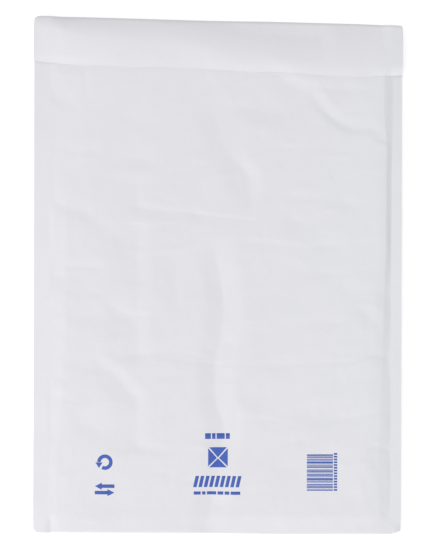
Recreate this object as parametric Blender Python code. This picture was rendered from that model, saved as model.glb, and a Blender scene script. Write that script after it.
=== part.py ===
"""A padded envelope that lies on its back, with its flap folded over the front panel.

One web of white kraft paper runs from the front panel's lip down to the bottom fold, up the back
panel, round the flap fold and down to the flap's free edge. Its sides are pressed together in two
seams. A folded sheet of bubble film lines it and makes the pocket. The flap's inside carries a band
of hot-melt adhesive under a release strip.

Lengths are in metres. +X runs across the front panel, +Y towards the flap fold and +Z up out of the
front panel. The origin is the middle of the footprint, on the surface that the back panel lies on.
"""

import math

import bmesh
import bpy
import numpy as np

# The body, as it lies closed
WIDTH = 0.320  # over the outer edges of the side seams
LENGTH = 0.446  # bottom fold to flap fold, along the middle
FOLD_SKEW = 0.0076  # the flap fold stands this much further up at the left edge than at the right
SEAM = 0.0105  # width of each pressed side seam
SEAM_LIFT = 0.0031  # underside of a seam above the surface
WALL = 0.009  # a seam's inner edge to the panel's full height
BOTTOM_SLOPE = 0.011  # bottom fold to the panel's full height
BOTTOM_ROUND = 0.003  # how far in the bottom fold itself is round
BOTTOM_ROUND_SHARE = 0.6  # and the share of the panel's height that it takes
CORNER_RADIUS = 0.005  # bottom left corner
CORNER_CUT_ACROSS = 0.008  # bottom right corner, folded under
CORNER_CUT_UP = 0.0035

# Sheet thicknesses, and the gap that stays between one sheet and the next
PAPER = 0.00025
SEAM_FILM = 0.00015  # bubble film crushed between the papers of a seam
FILM = 0.0024  # bubble film, on each side of the pocket
FILM_EDGE = 0.0003  # bubble film where it is pinched next to a seam
POCKET = 0.0005
CLEARANCE = 0.0003
ADHESIVE = 0.00015
RELEASE = 0.0001

# The flap
NOSE_REACH = 0.0045  # the back panel curls up into the flap fold over this length
NOSE_SHARE = 0.45  # and stands on edge at this share of the flap's height there
BOW_REACH = 0.014  # flap fold to the highest line of the flap, which bows
BOW = 0.00065  # how much higher that line is than the strips need
LIP_SETBACK = 0.0065  # flap fold to the front panel's lip
FILM_SETBACK = 0.005  # front panel's lip to the mouth of the bubble film
ADHESIVE_WIDTH = 0.020
RELEASE_OVERHANG = 0.004  # release strip beyond each long side of the adhesive
EDGE_MARGIN = 0.006  # flap's free edge to the release strip
FOLD_MARGIN = 0.009  # release strip to the flap fold
ADHESIVE_END = 0.008  # side edge of the flap to the end of the adhesive
RELEASE_END = 0.003
FLAP_TAPER = 0.0034  # the flap is this much longer at its right side
FOLD_CORNER_LEFT = 0.004  # corner radii of the flap fold, seen from the front
FOLD_CORNER_RIGHT = 0.002
FREE_EDGE_GAP = 0.0004  # front panel to the flap's free edge
STRIP_LEAD = 0.0012  # the flap clears the strips this far before the release strip begins
FLAP_DROOP = 0.0012  # how far the flap's side edges hang down, past the walls

# Each crease pressed into the front panel: its depth as a share of the film's height, its half width,
# and points on its line as shares of WIDTH from the left edge and of LENGTH from the bottom fold
CREASES = {
    "middle": (0.65, 0.014, ((0.496, 0.587), (0.504, 0.415), (0.488, 0.259), (0.507, 0.200), (0.471, 0.028))),
    "flap_to_right": (0.45, 0.013, ((0.656, 0.895), (0.760, 0.856), (0.860, 0.790), (0.972, 0.763))),
    "across": (0.35, 0.010, ((0.270, 0.634), (0.452, 0.620), (0.637, 0.610))),
    "upper_middle": (0.30, 0.015, ((0.485, 0.844), (0.512, 0.770), (0.580, 0.684), (0.577, 0.639))),
    "left": (0.25, 0.012, ((0.281, 0.704), (0.281, 0.474), (0.273, 0.259), (0.281, 0.165))),
    "left_branch": (0.30, 0.012, ((0.093, 0.329), (0.180, 0.325), (0.267, 0.263))),
}

# How finely the surfaces are divided
COLUMNS_BESIDE_MIDDLE = 16
ROWS_UP_FRONT = 42
NOSE_STEPS = 6
STRIP_STEPS = 5
BOTTOM_ROUND_STEPS = (0.0, 0.02, 0.06, 0.2, 0.6)  # as shares of BOTTOM_SLOPE
INSIDE_STEPS = (0.2, 0.6)
WALL_STEPS = (0.25, 0.5, 0.75)
CORNER_STEPS = (0.12, 0.4, 1.0)
LEAST_COLUMN = 0.0006  # columns of points nearer than this to a needed one are left out
SHARP_ANGLE = math.radians(35)
TOUCH = 1e-6

FULL_HEIGHT = 2 * PAPER + 2 * CLEARANCE + 2 * FILM + POCKET
SEAM_TOP = SEAM_LIFT + 2 * PAPER + SEAM_FILM
FLAP_STACK = 3 * CLEARANCE + RELEASE + ADHESIVE
RELEASE_WIDTH = ADHESIVE_WIDTH + 2 * RELEASE_OVERHANG
FLAP_RAMP = EDGE_MARGIN - STRIP_LEAD
FLAP_DEPTH = EDGE_MARGIN + RELEASE_WIDTH + FOLD_MARGIN
BOTTOM_Y = -(LENGTH + FOLD_SKEW / 2) / 2
ADHESIVE_MARGIN = EDGE_MARGIN + RELEASE_OVERHANG
ADHESIVE_ROWS = np.linspace(ADHESIVE_MARGIN, ADHESIVE_MARGIN + ADHESIVE_WIDTH, STRIP_STEPS)
FLAP_ROWS = (EDGE_MARGIN, *ADHESIVE_ROWS, EDGE_MARGIN + RELEASE_WIDTH)
SEAM_X = WIDTH / 2 - SEAM
WALL_TOP_X = SEAM_X - WALL
MIDDLE_X = (CREASES["middle"][2][0][0] - 0.5) * WIDTH


def smooth_step(share):
    share = np.clip(share, 0.0, 1.0)
    return share * share * (3 - 2 * share)


def quarter_round(share):
    """Height of a quarter ellipse: steep at 0 and level at 1."""
    return np.sqrt(1 - (1 - np.clip(share, 0.0, 1.0)) ** 2)


def side_rise(x):
    """0 on the seams and 1 where the walls reach the panel's full height."""
    return smooth_step((SEAM_X - np.abs(x)) / WALL)


def bottom_rise(distance):
    """0 on the bottom fold and 1 past the slope: a small rounded fold, then a straight slope."""
    slope = np.clip(distance / BOTTOM_SLOPE, 0.0, 1.0)
    return BOTTOM_ROUND_SHARE * quarter_round(distance / BOTTOM_ROUND) + (1 - BOTTOM_ROUND_SHARE) * slope


def bottom_line(x):
    """The bottom fold, with its rounded left corner and its cut right one."""
    from_left = x + WIDTH / 2
    from_right = WIDTH / 2 - x
    left = CORNER_RADIUS * (1 - quarter_round(from_left / CORNER_RADIUS))
    right = CORNER_CUT_UP * np.clip(1 - from_right / CORNER_CUT_ACROSS, 0.0, 1.0)
    return BOTTOM_Y + left + right


def fold_line(x):
    """The flap fold, but for its two rounded corners."""
    return BOTTOM_Y + LENGTH - FOLD_SKEW * x / WIDTH


def rounded_fold_line(x):
    from_left = x + WIDTH / 2
    from_right = WIDTH / 2 - x
    left = FOLD_CORNER_LEFT * (1 - quarter_round(from_left / FOLD_CORNER_LEFT))
    right = FOLD_CORNER_RIGHT * (1 - quarter_round(from_right / FOLD_CORNER_RIGHT))
    return fold_line(x) - left - right


def lip_line(x):
    return fold_line(x) - LIP_SETBACK


def free_edge_line(x):
    return fold_line(x) - FLAP_DEPTH - FLAP_TAPER * (x / WIDTH + 0.5)


def distance_to_line(x, y, points):
    """Distance from each x, y to the line through the points."""
    nearest = np.full(x.shape, np.inf)
    for (x0, y0), (x1, y1) in zip(points, points[1:]):
        run_x = x1 - x0
        run_y = y1 - y0
        along = ((x - x0) * run_x + (y - y0) * run_y) / (run_x**2 + run_y**2)
        along = np.clip(along, 0.0, 1.0)
        nearest = np.minimum(nearest, np.hypot(x - x0 - along * run_x, y - y0 - along * run_y))
    return nearest


def crease_depth(x, y):
    """How far the front panel is pressed in. Under the flap it is smooth."""
    depth = np.zeros(x.shape)
    for share, half_width, line in CREASES.values():
        points = [((u - 0.5) * WIDTH, BOTTOM_Y + v * LENGTH) for u, v in line]
        away = np.clip(distance_to_line(x, y, points) / half_width, 0.0, 1.0)
        depth = np.maximum(depth, share * FILM * (0.5 + 0.5 * np.cos(math.pi * away)))
    under_flap = smooth_step((y - free_edge_line(x)) / EDGE_MARGIN)
    return depth * (1 - under_flap)


def front_height(x, y):
    """Outside of the front panel."""
    rise = side_rise(x) * bottom_rise(y - bottom_line(x))
    return SEAM_TOP + (FULL_HEIGHT - SEAM_TOP) * rise - crease_depth(x, y) * rise


def back_height(x, y):
    """Outside of the back panel: it lies on the surface and lifts to the seams and the bottom fold."""
    rise = side_rise(x) * bottom_rise(y - bottom_line(x))
    return SEAM_LIFT * (1 - rise)


def nose_height(x):
    """Where the web stands on edge in the flap fold."""
    back = back_height(x, lip_line(x))
    droop = FLAP_DROOP * smooth_step((np.abs(x) - WALL_TOP_X) / (SEAM + WALL))
    return back + NOSE_SHARE * (FULL_HEIGHT + FLAP_STACK + BOW + PAPER - droop - back)


def flap_height(x, y):
    """Outside of the flap. From the fold it curves up to its highest line, then falls to its free edge,
    and over the strips it leaves room for them. Past the walls its sides hang down a little."""
    droop = FLAP_DROOP * smooth_step((np.abs(x) - WALL_TOP_X) / (SEAM + WALL))
    from_edge = y - free_edge_line(x)
    bow_line = rounded_fold_line(x) - BOW_REACH
    bow_share = np.clip((bow_line - y) / (bow_line - free_edge_line(x) - FLAP_RAMP), 0.0, 1.0)
    lift = np.clip(from_edge / FLAP_RAMP, 0.0, 1.0)
    over_strips = FREE_EDGE_GAP + (FLAP_STACK - FREE_EDGE_GAP) * lift
    top = FULL_HEIGHT + PAPER + over_strips + BOW * (1 - bow_share**2) - droop
    nose = nose_height(x)
    return nose + (top - nose) * quarter_round((rounded_fold_line(x) - y) / BOW_REACH)


def places(needed, wished):
    """The needed positions, with each wished one that isn't too close to another."""
    kept = sorted(needed)
    for value in sorted(wished):
        if min(abs(value - other) for other in kept) > LEAST_COLUMN:
            kept.append(value)
    return np.array(sorted(kept))


def column_places():
    """X of the columns of points that all surfaces share."""
    beside_left = np.linspace(-WALL_TOP_X, MIDDLE_X, COLUMNS_BESIDE_MIDDLE + 1)
    beside_right = np.linspace(MIDDLE_X, WALL_TOP_X, COLUMNS_BESIDE_MIDDLE + 1)
    on_walls = [side * (SEAM_X - share * WALL) for side in (-1, 1) for share in WALL_STEPS]
    left_corner = [share * CORNER_RADIUS - WIDTH / 2 for share in CORNER_STEPS]
    right_corner = [WIDTH / 2 - CORNER_CUT_ACROSS, WIDTH / 2 - FOLD_CORNER_RIGHT]
    needed = [-WIDTH / 2, -SEAM_X, -WALL_TOP_X, WALL_TOP_X, SEAM_X, WIDTH / 2]
    return places(needed, [*beside_left, *beside_right, *on_walls, *left_corner, *right_corner])


def front_rows(x, slope_shares):
    """Y of the rows of points up the front and back panels, a line of the grid for each share."""
    slope_top = bottom_line(x) + BOTTOM_SLOPE
    smooth_from = free_edge_line(x) + EDGE_MARGIN
    rows = [bottom_line(x) + share * BOTTOM_SLOPE for share in slope_shares]
    for share in np.linspace(0.0, 1.0, ROWS_UP_FRONT):
        rows.append(slope_top + share * (smooth_from - slope_top))
    return np.array(rows)


def with_heights(x, rows, height):
    """Points of a grid from the columns' x, the rows' y and a height function."""
    across = np.broadcast_to(x, rows.shape)
    return np.stack([across, rows, height(across, rows)], axis=-1)


def level(height):
    """A height function that is the same all over."""
    return lambda across, y: np.full(y.shape, height)


def add_points(mesh, points):
    return [[mesh.verts.new(point) for point in row] for row in points]


def skin(mesh, rows):
    """Faces between each row of points and the next."""
    for lower, upper in zip(rows, rows[1:]):
        for i in range(len(lower) - 1):
            mesh.faces.new((lower[i], lower[i + 1], upper[i + 1], upper[i]))


def column(rows, index):
    return [row[index] for row in rows]


def finish(name, mesh, material):
    """Turns the closed mesh's faces outwards and makes it a smooth-shaded object."""
    bmesh.ops.recalc_face_normals(mesh, faces=mesh.faces)
    if mesh.calc_volume(signed=True) < 0:
        bmesh.ops.reverse_faces(mesh, faces=mesh.faces)
    data = bpy.data.meshes.new(name)
    mesh.to_mesh(data)
    mesh.free()
    data.shade_smooth()
    data.set_sharp_from_angle(angle=SHARP_ANGLE)
    data.materials.append(material)
    thing = bpy.data.objects.new(name, data)
    bpy.context.scene.collection.objects.link(thing)
    return thing


def make_material(name, colour, roughness, alpha=1.0):
    material = bpy.data.materials.new(name)
    material.use_nodes = True
    shader = material.node_tree.nodes["Principled BSDF"]
    shader.inputs["Base Color"].default_value = (*colour, 1.0)
    shader.inputs["Roughness"].default_value = roughness
    shader.inputs["Metallic"].default_value = 0.0
    shader.inputs["Alpha"].default_value = alpha
    return material


def wrap_points(x):
    """Outer and inner points of the web from the lip's level round the flap fold to the free edge."""
    lip = lip_line(x)
    fold = rounded_fold_line(x)
    back = back_height(x, lip)
    nose = nose_height(x)
    curl_start = fold_line(x) - NOSE_REACH
    outer = [np.stack([lip, back], axis=-1)]
    for turn in np.linspace(0.0, math.pi / 2, NOSE_STEPS)[:-1]:
        y = curl_start + (fold - curl_start) * math.sin(turn)
        outer.append(np.stack([y, nose - (nose - back) * math.cos(turn)], axis=-1))
    strip_top = free_edge_line(x) + FLAP_ROWS[-1]
    for share in np.linspace(0.0, 1.0, NOSE_STEPS)[:-1]:
        y = fold - (fold - strip_top) * share**2
        outer.append(np.stack([y, flap_height(x, y)], axis=-1))
    for distance in (*FLAP_ROWS[::-1], FLAP_RAMP, 0.0):
        y = free_edge_line(x) + distance
        outer.append(np.stack([y, flap_height(x, y)], axis=-1))
    outer = np.array(outer)
    along = np.gradient(outer, axis=0)
    along[0] = (1.0, 0.0)
    along /= np.linalg.norm(along, axis=-1, keepdims=True)
    inward = np.stack([-along[..., 1], along[..., 0]], axis=-1)
    inner = outer + PAPER * inward
    across = np.broadcast_to(x, outer.shape[:2])[..., None]
    return np.concatenate([across, outer], axis=-1), np.concatenate([across, inner], axis=-1)


def make_paper_jacket(x):
    mesh = bmesh.new()
    first = int(np.argmin(np.abs(x + SEAM_X)))
    last = int(np.argmin(np.abs(x - SEAM_X)))
    cavity_x = x[first : last + 1]

    outer_rows = np.vstack([front_rows(x, BOTTOM_ROUND_STEPS), lip_line(x)])
    front = add_points(mesh, with_heights(x, outer_rows, front_height))
    wrap_outer_points, wrap_inner_points = wrap_points(x)
    back = add_points(mesh, with_heights(x, outer_rows[:-1], back_height))
    wrap_outer = add_points(mesh, wrap_outer_points)
    back.append(wrap_outer[0])
    wrap_inner = add_points(mesh, wrap_inner_points)

    def inside_of_front(across, y):
        return front_height(across, y) - PAPER

    def inside_of_back(across, y):
        return back_height(across, y) + PAPER

    fold_share = 2 * PAPER / BOTTOM_SLOPE
    inner_rows = np.vstack([front_rows(cavity_x, (fold_share, *INSIDE_STEPS)), lip_line(cavity_x)])
    front_inner = add_points(mesh, with_heights(cavity_x, inner_rows, inside_of_front))
    back_inner = add_points(mesh, with_heights(cavity_x, inner_rows[:-1], inside_of_back))
    back_inner.append(wrap_inner[0][first : last + 1])

    for surface in (front, back, wrap_outer, wrap_inner, front_inner, back_inner):
        skin(mesh, surface)
    skin(mesh, [back[0], front[0]])
    skin(mesh, [back_inner[0], front_inner[0]])
    skin(mesh, [wrap_outer[-1], wrap_inner[-1]])
    for side in (0, -1):
        skin(mesh, [column(back[:-1], side), column(front[:-1], side)])
        seam_end = (back[-1][side], wrap_inner[0][side], front[-1][side])
        mesh.faces.new((back[-2][side], *seam_end, front[-2][side]))
        skin(mesh, [column(wrap_outer, side), column(wrap_inner, side)])
        skin(mesh, [column(back_inner, side), column(front_inner, side)])
    lip = front[-1]
    skin(mesh, [lip[first : last + 1], front_inner[-1]])
    skin(mesh, [wrap_inner[0][:first], lip[:first]])
    skin(mesh, [wrap_inner[0][last + 1 :], lip[last + 1 :]])
    for seam, beside, cavity in ((first, first - 1, 0), (last, last + 1, -1)):
        corner = (wrap_inner[0][beside], wrap_inner[0][seam], front_inner[-1][cavity], lip[seam], lip[beside])
        mesh.faces.new(corner)
    return finish("paper_jacket", mesh, make_material("white_kraft_paper", (0.78, 0.77, 0.80), 0.6))


def make_bubble_lining(x):
    """The film begins where it fits between the papers, pinched, and its pocket where it is full height."""
    room = FULL_HEIGHT - SEAM_TOP + SEAM_LIFT
    side_needs = (FILM_EDGE + 2 * CLEARANCE - SEAM_FILM) / room
    corner_needs = (FILM_EDGE / 2 + 2 * CLEARANCE - SEAM_FILM) / room
    shares = np.linspace(0.0, 1.0, 200)
    edge_x = SEAM_X - WALL * np.interp(side_needs, smooth_step(shares), shares)
    film_x = places([-edge_x, -WALL_TOP_X, WALL_TOP_X, edge_x], x[np.abs(x) < edge_x])
    start = np.interp(corner_needs / side_rise(film_x), bottom_rise(shares * BOTTOM_SLOPE), shares)
    start = np.maximum(start, 2 * (PAPER + CLEARANCE) / BOTTOM_SLOPE)
    first = int(np.argmin(np.abs(film_x + WALL_TOP_X)))
    last = int(np.argmin(np.abs(film_x - WALL_TOP_X)))
    pocket_x = film_x[first : last + 1]

    def top(across, y):
        return front_height(across, y) - PAPER - CLEARANCE

    def underside(across, y):
        return back_height(across, y) + PAPER + CLEARANCE

    mouth = lip_line(film_x) - FILM_SETBACK
    rows = np.vstack([front_rows(film_x, (start, (start + 1) / 2)), mouth])
    mesh = bmesh.new()
    above = add_points(mesh, with_heights(film_x, rows, top))
    below = add_points(mesh, with_heights(film_x, rows, underside))

    pocket_bottom = bottom_line(pocket_x) + BOTTOM_SLOPE
    pocket_rows = np.array([pocket_bottom, lip_line(pocket_x) - FILM_SETBACK])
    floor_height = PAPER + CLEARANCE + FILM
    floor = add_points(mesh, with_heights(pocket_x, pocket_rows, level(floor_height)))
    roof = add_points(mesh, with_heights(pocket_x, pocket_rows, level(floor_height + POCKET)))

    for surface in (above, below, floor, roof):
        skin(mesh, surface)
    skin(mesh, [below[0], above[0]])
    skin(mesh, [floor[0], roof[0]])
    skin(mesh, [roof[-1], above[-1][first : last + 1]])
    skin(mesh, [below[-1][first : last + 1], floor[-1]])
    for side in (0, -1):
        skin(mesh, [column(below, side), column(above, side)])
        skin(mesh, [column(floor, side), column(roof, side)])
    skin(mesh, [below[-1][:first], above[-1][:first]])
    skin(mesh, [below[-1][last + 1 :], above[-1][last + 1 :]])
    for edge, beside, pocket in ((first, first - 1, 0), (last, last + 1, -1)):
        mesh.faces.new(
            (
                below[-1][beside],
                below[-1][edge],
                floor[-1][pocket],
                roof[-1][pocket],
                above[-1][edge],
                above[-1][beside],
            )
        )
    return finish("bubble_lining", mesh, make_material("bubble_film", (0.86, 0.88, 0.90), 0.25, 0.5))


def make_strip(name, x, size, material):
    """A band across the flap's inside: its top lies `depth` under the flap's inner face."""
    end, margin, width, depth, thickness = size
    strip_x = places([end - WIDTH / 2, WIDTH / 2 - end], x[np.abs(x) < WIDTH / 2 - end])
    within = [row for row in FLAP_ROWS if margin - TOUCH < row < margin + width + TOUCH]
    rows = np.array([free_edge_line(strip_x) + row for row in within])

    def top(across, y):
        return flap_height(across, y) - PAPER - depth

    def underside(across, y):
        return flap_height(across, y) - PAPER - depth - thickness

    mesh = bmesh.new()
    above = add_points(mesh, with_heights(strip_x, rows, top))
    below = add_points(mesh, with_heights(strip_x, rows, underside))
    skin(mesh, above)
    skin(mesh, below)
    for side in (0, -1):
        skin(mesh, [below[side], above[side]])
        skin(mesh, [column(below, side), column(above, side)])
    return finish(name, mesh, material)


def make_adhesive_strip(x):
    material = make_material("hot_melt_adhesive", (0.83, 0.80, 0.68), 0.2)
    size = (ADHESIVE_END, ADHESIVE_MARGIN, ADHESIVE_WIDTH, CLEARANCE, ADHESIVE)
    return make_strip("adhesive_strip", x, size, material)


def make_release_strip(x):
    depth = 2 * CLEARANCE + ADHESIVE
    material = make_material("siliconised_paper", (0.85, 0.85, 0.84), 0.3)
    size = (RELEASE_END, EDGE_MARGIN, RELEASE_WIDTH, depth, RELEASE)
    return make_strip("release_strip", x, size, material)


def main():
    for thing in list(bpy.data.objects):
        bpy.data.objects.remove(thing, do_unlink=True)
    x = column_places()
    make_paper_jacket(x)
    make_bubble_lining(x)
    make_adhesive_strip(x)
    make_release_strip(x)


main()
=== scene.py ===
"""The looks of a padded envelope: its creased paper, bubble film, strips under the flap and print.

Places on the panels are written in millimetres from the left edge and from the bottom fold.
"""

import math

import bpy
import numpy as np
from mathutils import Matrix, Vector


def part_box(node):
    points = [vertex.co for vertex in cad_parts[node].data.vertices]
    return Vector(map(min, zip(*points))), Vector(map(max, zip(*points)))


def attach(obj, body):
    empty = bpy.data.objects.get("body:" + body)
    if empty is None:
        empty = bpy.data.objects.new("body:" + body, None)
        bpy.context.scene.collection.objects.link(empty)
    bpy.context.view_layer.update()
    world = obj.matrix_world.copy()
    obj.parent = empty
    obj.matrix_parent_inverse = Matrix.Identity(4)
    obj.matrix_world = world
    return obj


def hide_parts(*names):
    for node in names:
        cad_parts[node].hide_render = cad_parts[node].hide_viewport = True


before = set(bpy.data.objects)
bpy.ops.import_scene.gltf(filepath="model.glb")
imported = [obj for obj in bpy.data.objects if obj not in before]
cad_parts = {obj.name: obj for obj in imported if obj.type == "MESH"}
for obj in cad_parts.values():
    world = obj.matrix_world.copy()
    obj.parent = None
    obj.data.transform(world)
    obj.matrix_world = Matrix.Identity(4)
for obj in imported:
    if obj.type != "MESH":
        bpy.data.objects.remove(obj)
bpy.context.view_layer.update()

JACKET_LOW, JACKET_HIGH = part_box("paper_jacket")
MM = 0.001

bl_info = {
    "name": "Padded Envelope",
    "version": (1, 0, 0),
    "blender": (4, 5, 0),
    "location": "View3D > Sidebar > Envelope",
    "description": "Builds a padded envelope with creased paper, bubble film and print",
    "category": "Add Mesh",
}

BODY = "root"

# Forms of the jacket's sheets and the room between them
FOLD_SKEW = 7.6 * MM
SEAM_LIFT = 3.1 * MM
SEAM_FILM = 0.15 * MM
FULL_HEIGHT = 6.4 * MM
FLAP_TAPER = 3.4 * MM
LIP_SETBACK = 6.5 * MM
NOSE_REACH = 4.5 * MM
NOSE_ROUND = 3 * MM
CORNER_RADIUS = 5 * MM
CORNER_CUT_ACROSS = 8 * MM
CORNER_CUT_UP = 2.7 * MM
FOLD_CORNER_LEFT = 4 * MM
FOLD_CORNER_RIGHT = 2 * MM
BOTTOM_BELLY = 0.6 * MM
FOLD_BELLY = 0.8 * MM
BOTTOM_ROUND = 1.8 * MM
BOTTOM_SLOPE = 15.5 * MM

# Where the panel slopes down to the bottom fold: the slope's share at the left, and each gain towards the
# right with its start and width as shares of the envelope's width
LEAST_SLOPE = 0.1
SLOPE_GAINS = ((0.65, 0.35, 0.2), (0.2, 0.88, 0.08))

# Waves along the seams: height, wavelength over 2 pi, and phase in radians, which is negative at the left
SEAM_WAVES = ((0.22 * MM, 17 * MM, 1), (0.16 * MM, 7.3 * MM, 2))

# How far the front panel sinks towards its lip and its lower corners. Each pair is a start and a width.
LIP_SINK = 1.3 * MM
LIP_SINK_GAIN = 1.8 * MM
LIP_GAIN_ACROSS = (0.38, 0.16)
LIP_SINK_PAST_EDGE = (-6 * MM, 40 * MM)
LIP_SMOOTH_PAST_EDGE = (-3 * MM, 8 * MM)
LIP_SMOOTHED = 0.9
LOW_LEFT_SINK = 1.2 * MM
LOW_RIGHT_SINK = 0.3 * MM
LOW_CORNERS_UP = (60 * MM, 110 * MM)
LOW_CORNERS_OUT = (60 * MM, 85 * MM)
CREASES_FROM_SEAM = (0, 5 * MM)
CREASES_FROM_BOTTOM = (-1 * MM, 4 * MM)

# Along each wall, from the bottom fold up: where it starts inside the seam, width of its straight part,
# that part's share of the height, width of its soft part, and how far the seam's outer edge hangs down
LEFT_STATIONS = np.array([0, 24, 60, 106, 140, 170, 240, 290, 330, 410]) * MM
LEFT_START = np.array([0.4, 0, 0.4, 1.8, 0.5, 0, 0, 0, 0, 0]) * MM
LEFT_STRAIGHT = np.array([9, 7, 7, 9, 12, 15, 15, 15, 45, 60]) * MM
LEFT_SHARE = np.array([0.38, 0.4, 0.35, 0.4, 0.4, 0.5, 0.5, 0.5, 0.7, 0.7])
LEFT_SOFT = np.array([21, 20, 18, 20, 30, 55, 55, 55, 60, 60]) * MM
LEFT_DROOP = np.array([1.3, 1.2, 1.4, 1.4, 1.5, 1.7, 1.5, 1.0, 0.4, 0.1]) * MM
RIGHT_STATIONS = np.array([0, 9, 16, 60, 106, 150, 200, 250, 300, 342, 366, 410]) * MM
RIGHT_START = np.array([0, 0, 1.3, 1.3, 1.3, 1.3, 1.2, 1.2, 1.0, 0.5, 0, 0]) * MM
RIGHT_STRAIGHT = np.array([16, 16, 9, 10, 9, 7, 6, 4.3, 4.6, 4.6, 7.4, 7.4]) * MM
RIGHT_SHARE = np.array([0.7, 0.7, 0.42, 0.36, 0.35, 0.35, 0.4, 0.6, 0.68, 0.68, 0.7, 0.7])
RIGHT_SOFT = np.array([30, 30, 24, 26, 22, 16, 14, 11, 12, 12, 30, 30]) * MM
RIGHT_DROOP = np.array([1.3, 1.3, 0.3, 0.1, 0.1, 0, -0.2, -0.3, 0, 0.6, 0.9, 1.1]) * MM
BACK_REACH = 12 * MM
BACK_COCKLE = 0.5
BACK_EASE = 0.2 * MM

# Across the flap, from the left edge: how far its highest line lies from the flap fold, the fold's height
# as a share of that line's, the share of the rise that is round, and how far the free edge isn't straight
CREST_STATIONS = np.array([0, 14, 50, 125, 188, 230, 285, 320]) * MM
CREST_REACH = np.array([7.5, 12, 17, 24, 28, 37, 37, 37]) * MM
NOSE_SHARE = np.array([0.2, 0.25, 0.36, 0.24, 0.16, 0.1, 0.1, 0.25])
NOSE_ROUND_SHARE = np.array([0.3, 0.3, 0.3, 0.28, 0.25, 0.25, 0.3, 0.35])
EDGE_STATIONS = np.array([0, 10, 40, 58, 80, 108, 145, 167, 190, 214, 232, 260, 285, 301, 314, 320]) * MM
EDGE_WAVE = np.array(
    [-3.4, -2.6, -1.4, -1.6, -0.9, -2, -1.8, -1.2, -0.8, -1.7, -1, 0.4, 0.1, -1.6, -2.4, -3.4]) * MM
EDGE_GAP = 0.05 * MM
LEAST_EDGE_HEIGHT = 4.0 * MM
FLAP_FLARE = 0.002

# The flap's highest line: its room to the top of the solids, its wave as height, radians over the width
# and phase, how far it sags at the right and falls past the walls. Then the fall to the free edge.
CREST_ROOM = 0.15 * MM
CREST_WAVE = (0.12 * MM, 9, 0.7)
CREST_SAG = 1.0 * MM
CREST_SAG_ACROSS = (0.55, 0.2)
CREST_SIDES = 14 * MM
LEFT_FALL = 2.2 * MM
RIGHT_FALL = 0.9 * MM
FALL_SHARE = 0.82
FALL_POWER = 1.6
CURL_SHARE = 0.18
CURL_LENGTH = 7 * MM
PANEL_BEHIND_EDGE = 2 * MM
FLAP_COCKLE = 0.5
CREASES_FROM_FOLD = (0, 6 * MM)
CREASES_FROM_EDGE = (-2 * MM, 8 * MM)

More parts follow.
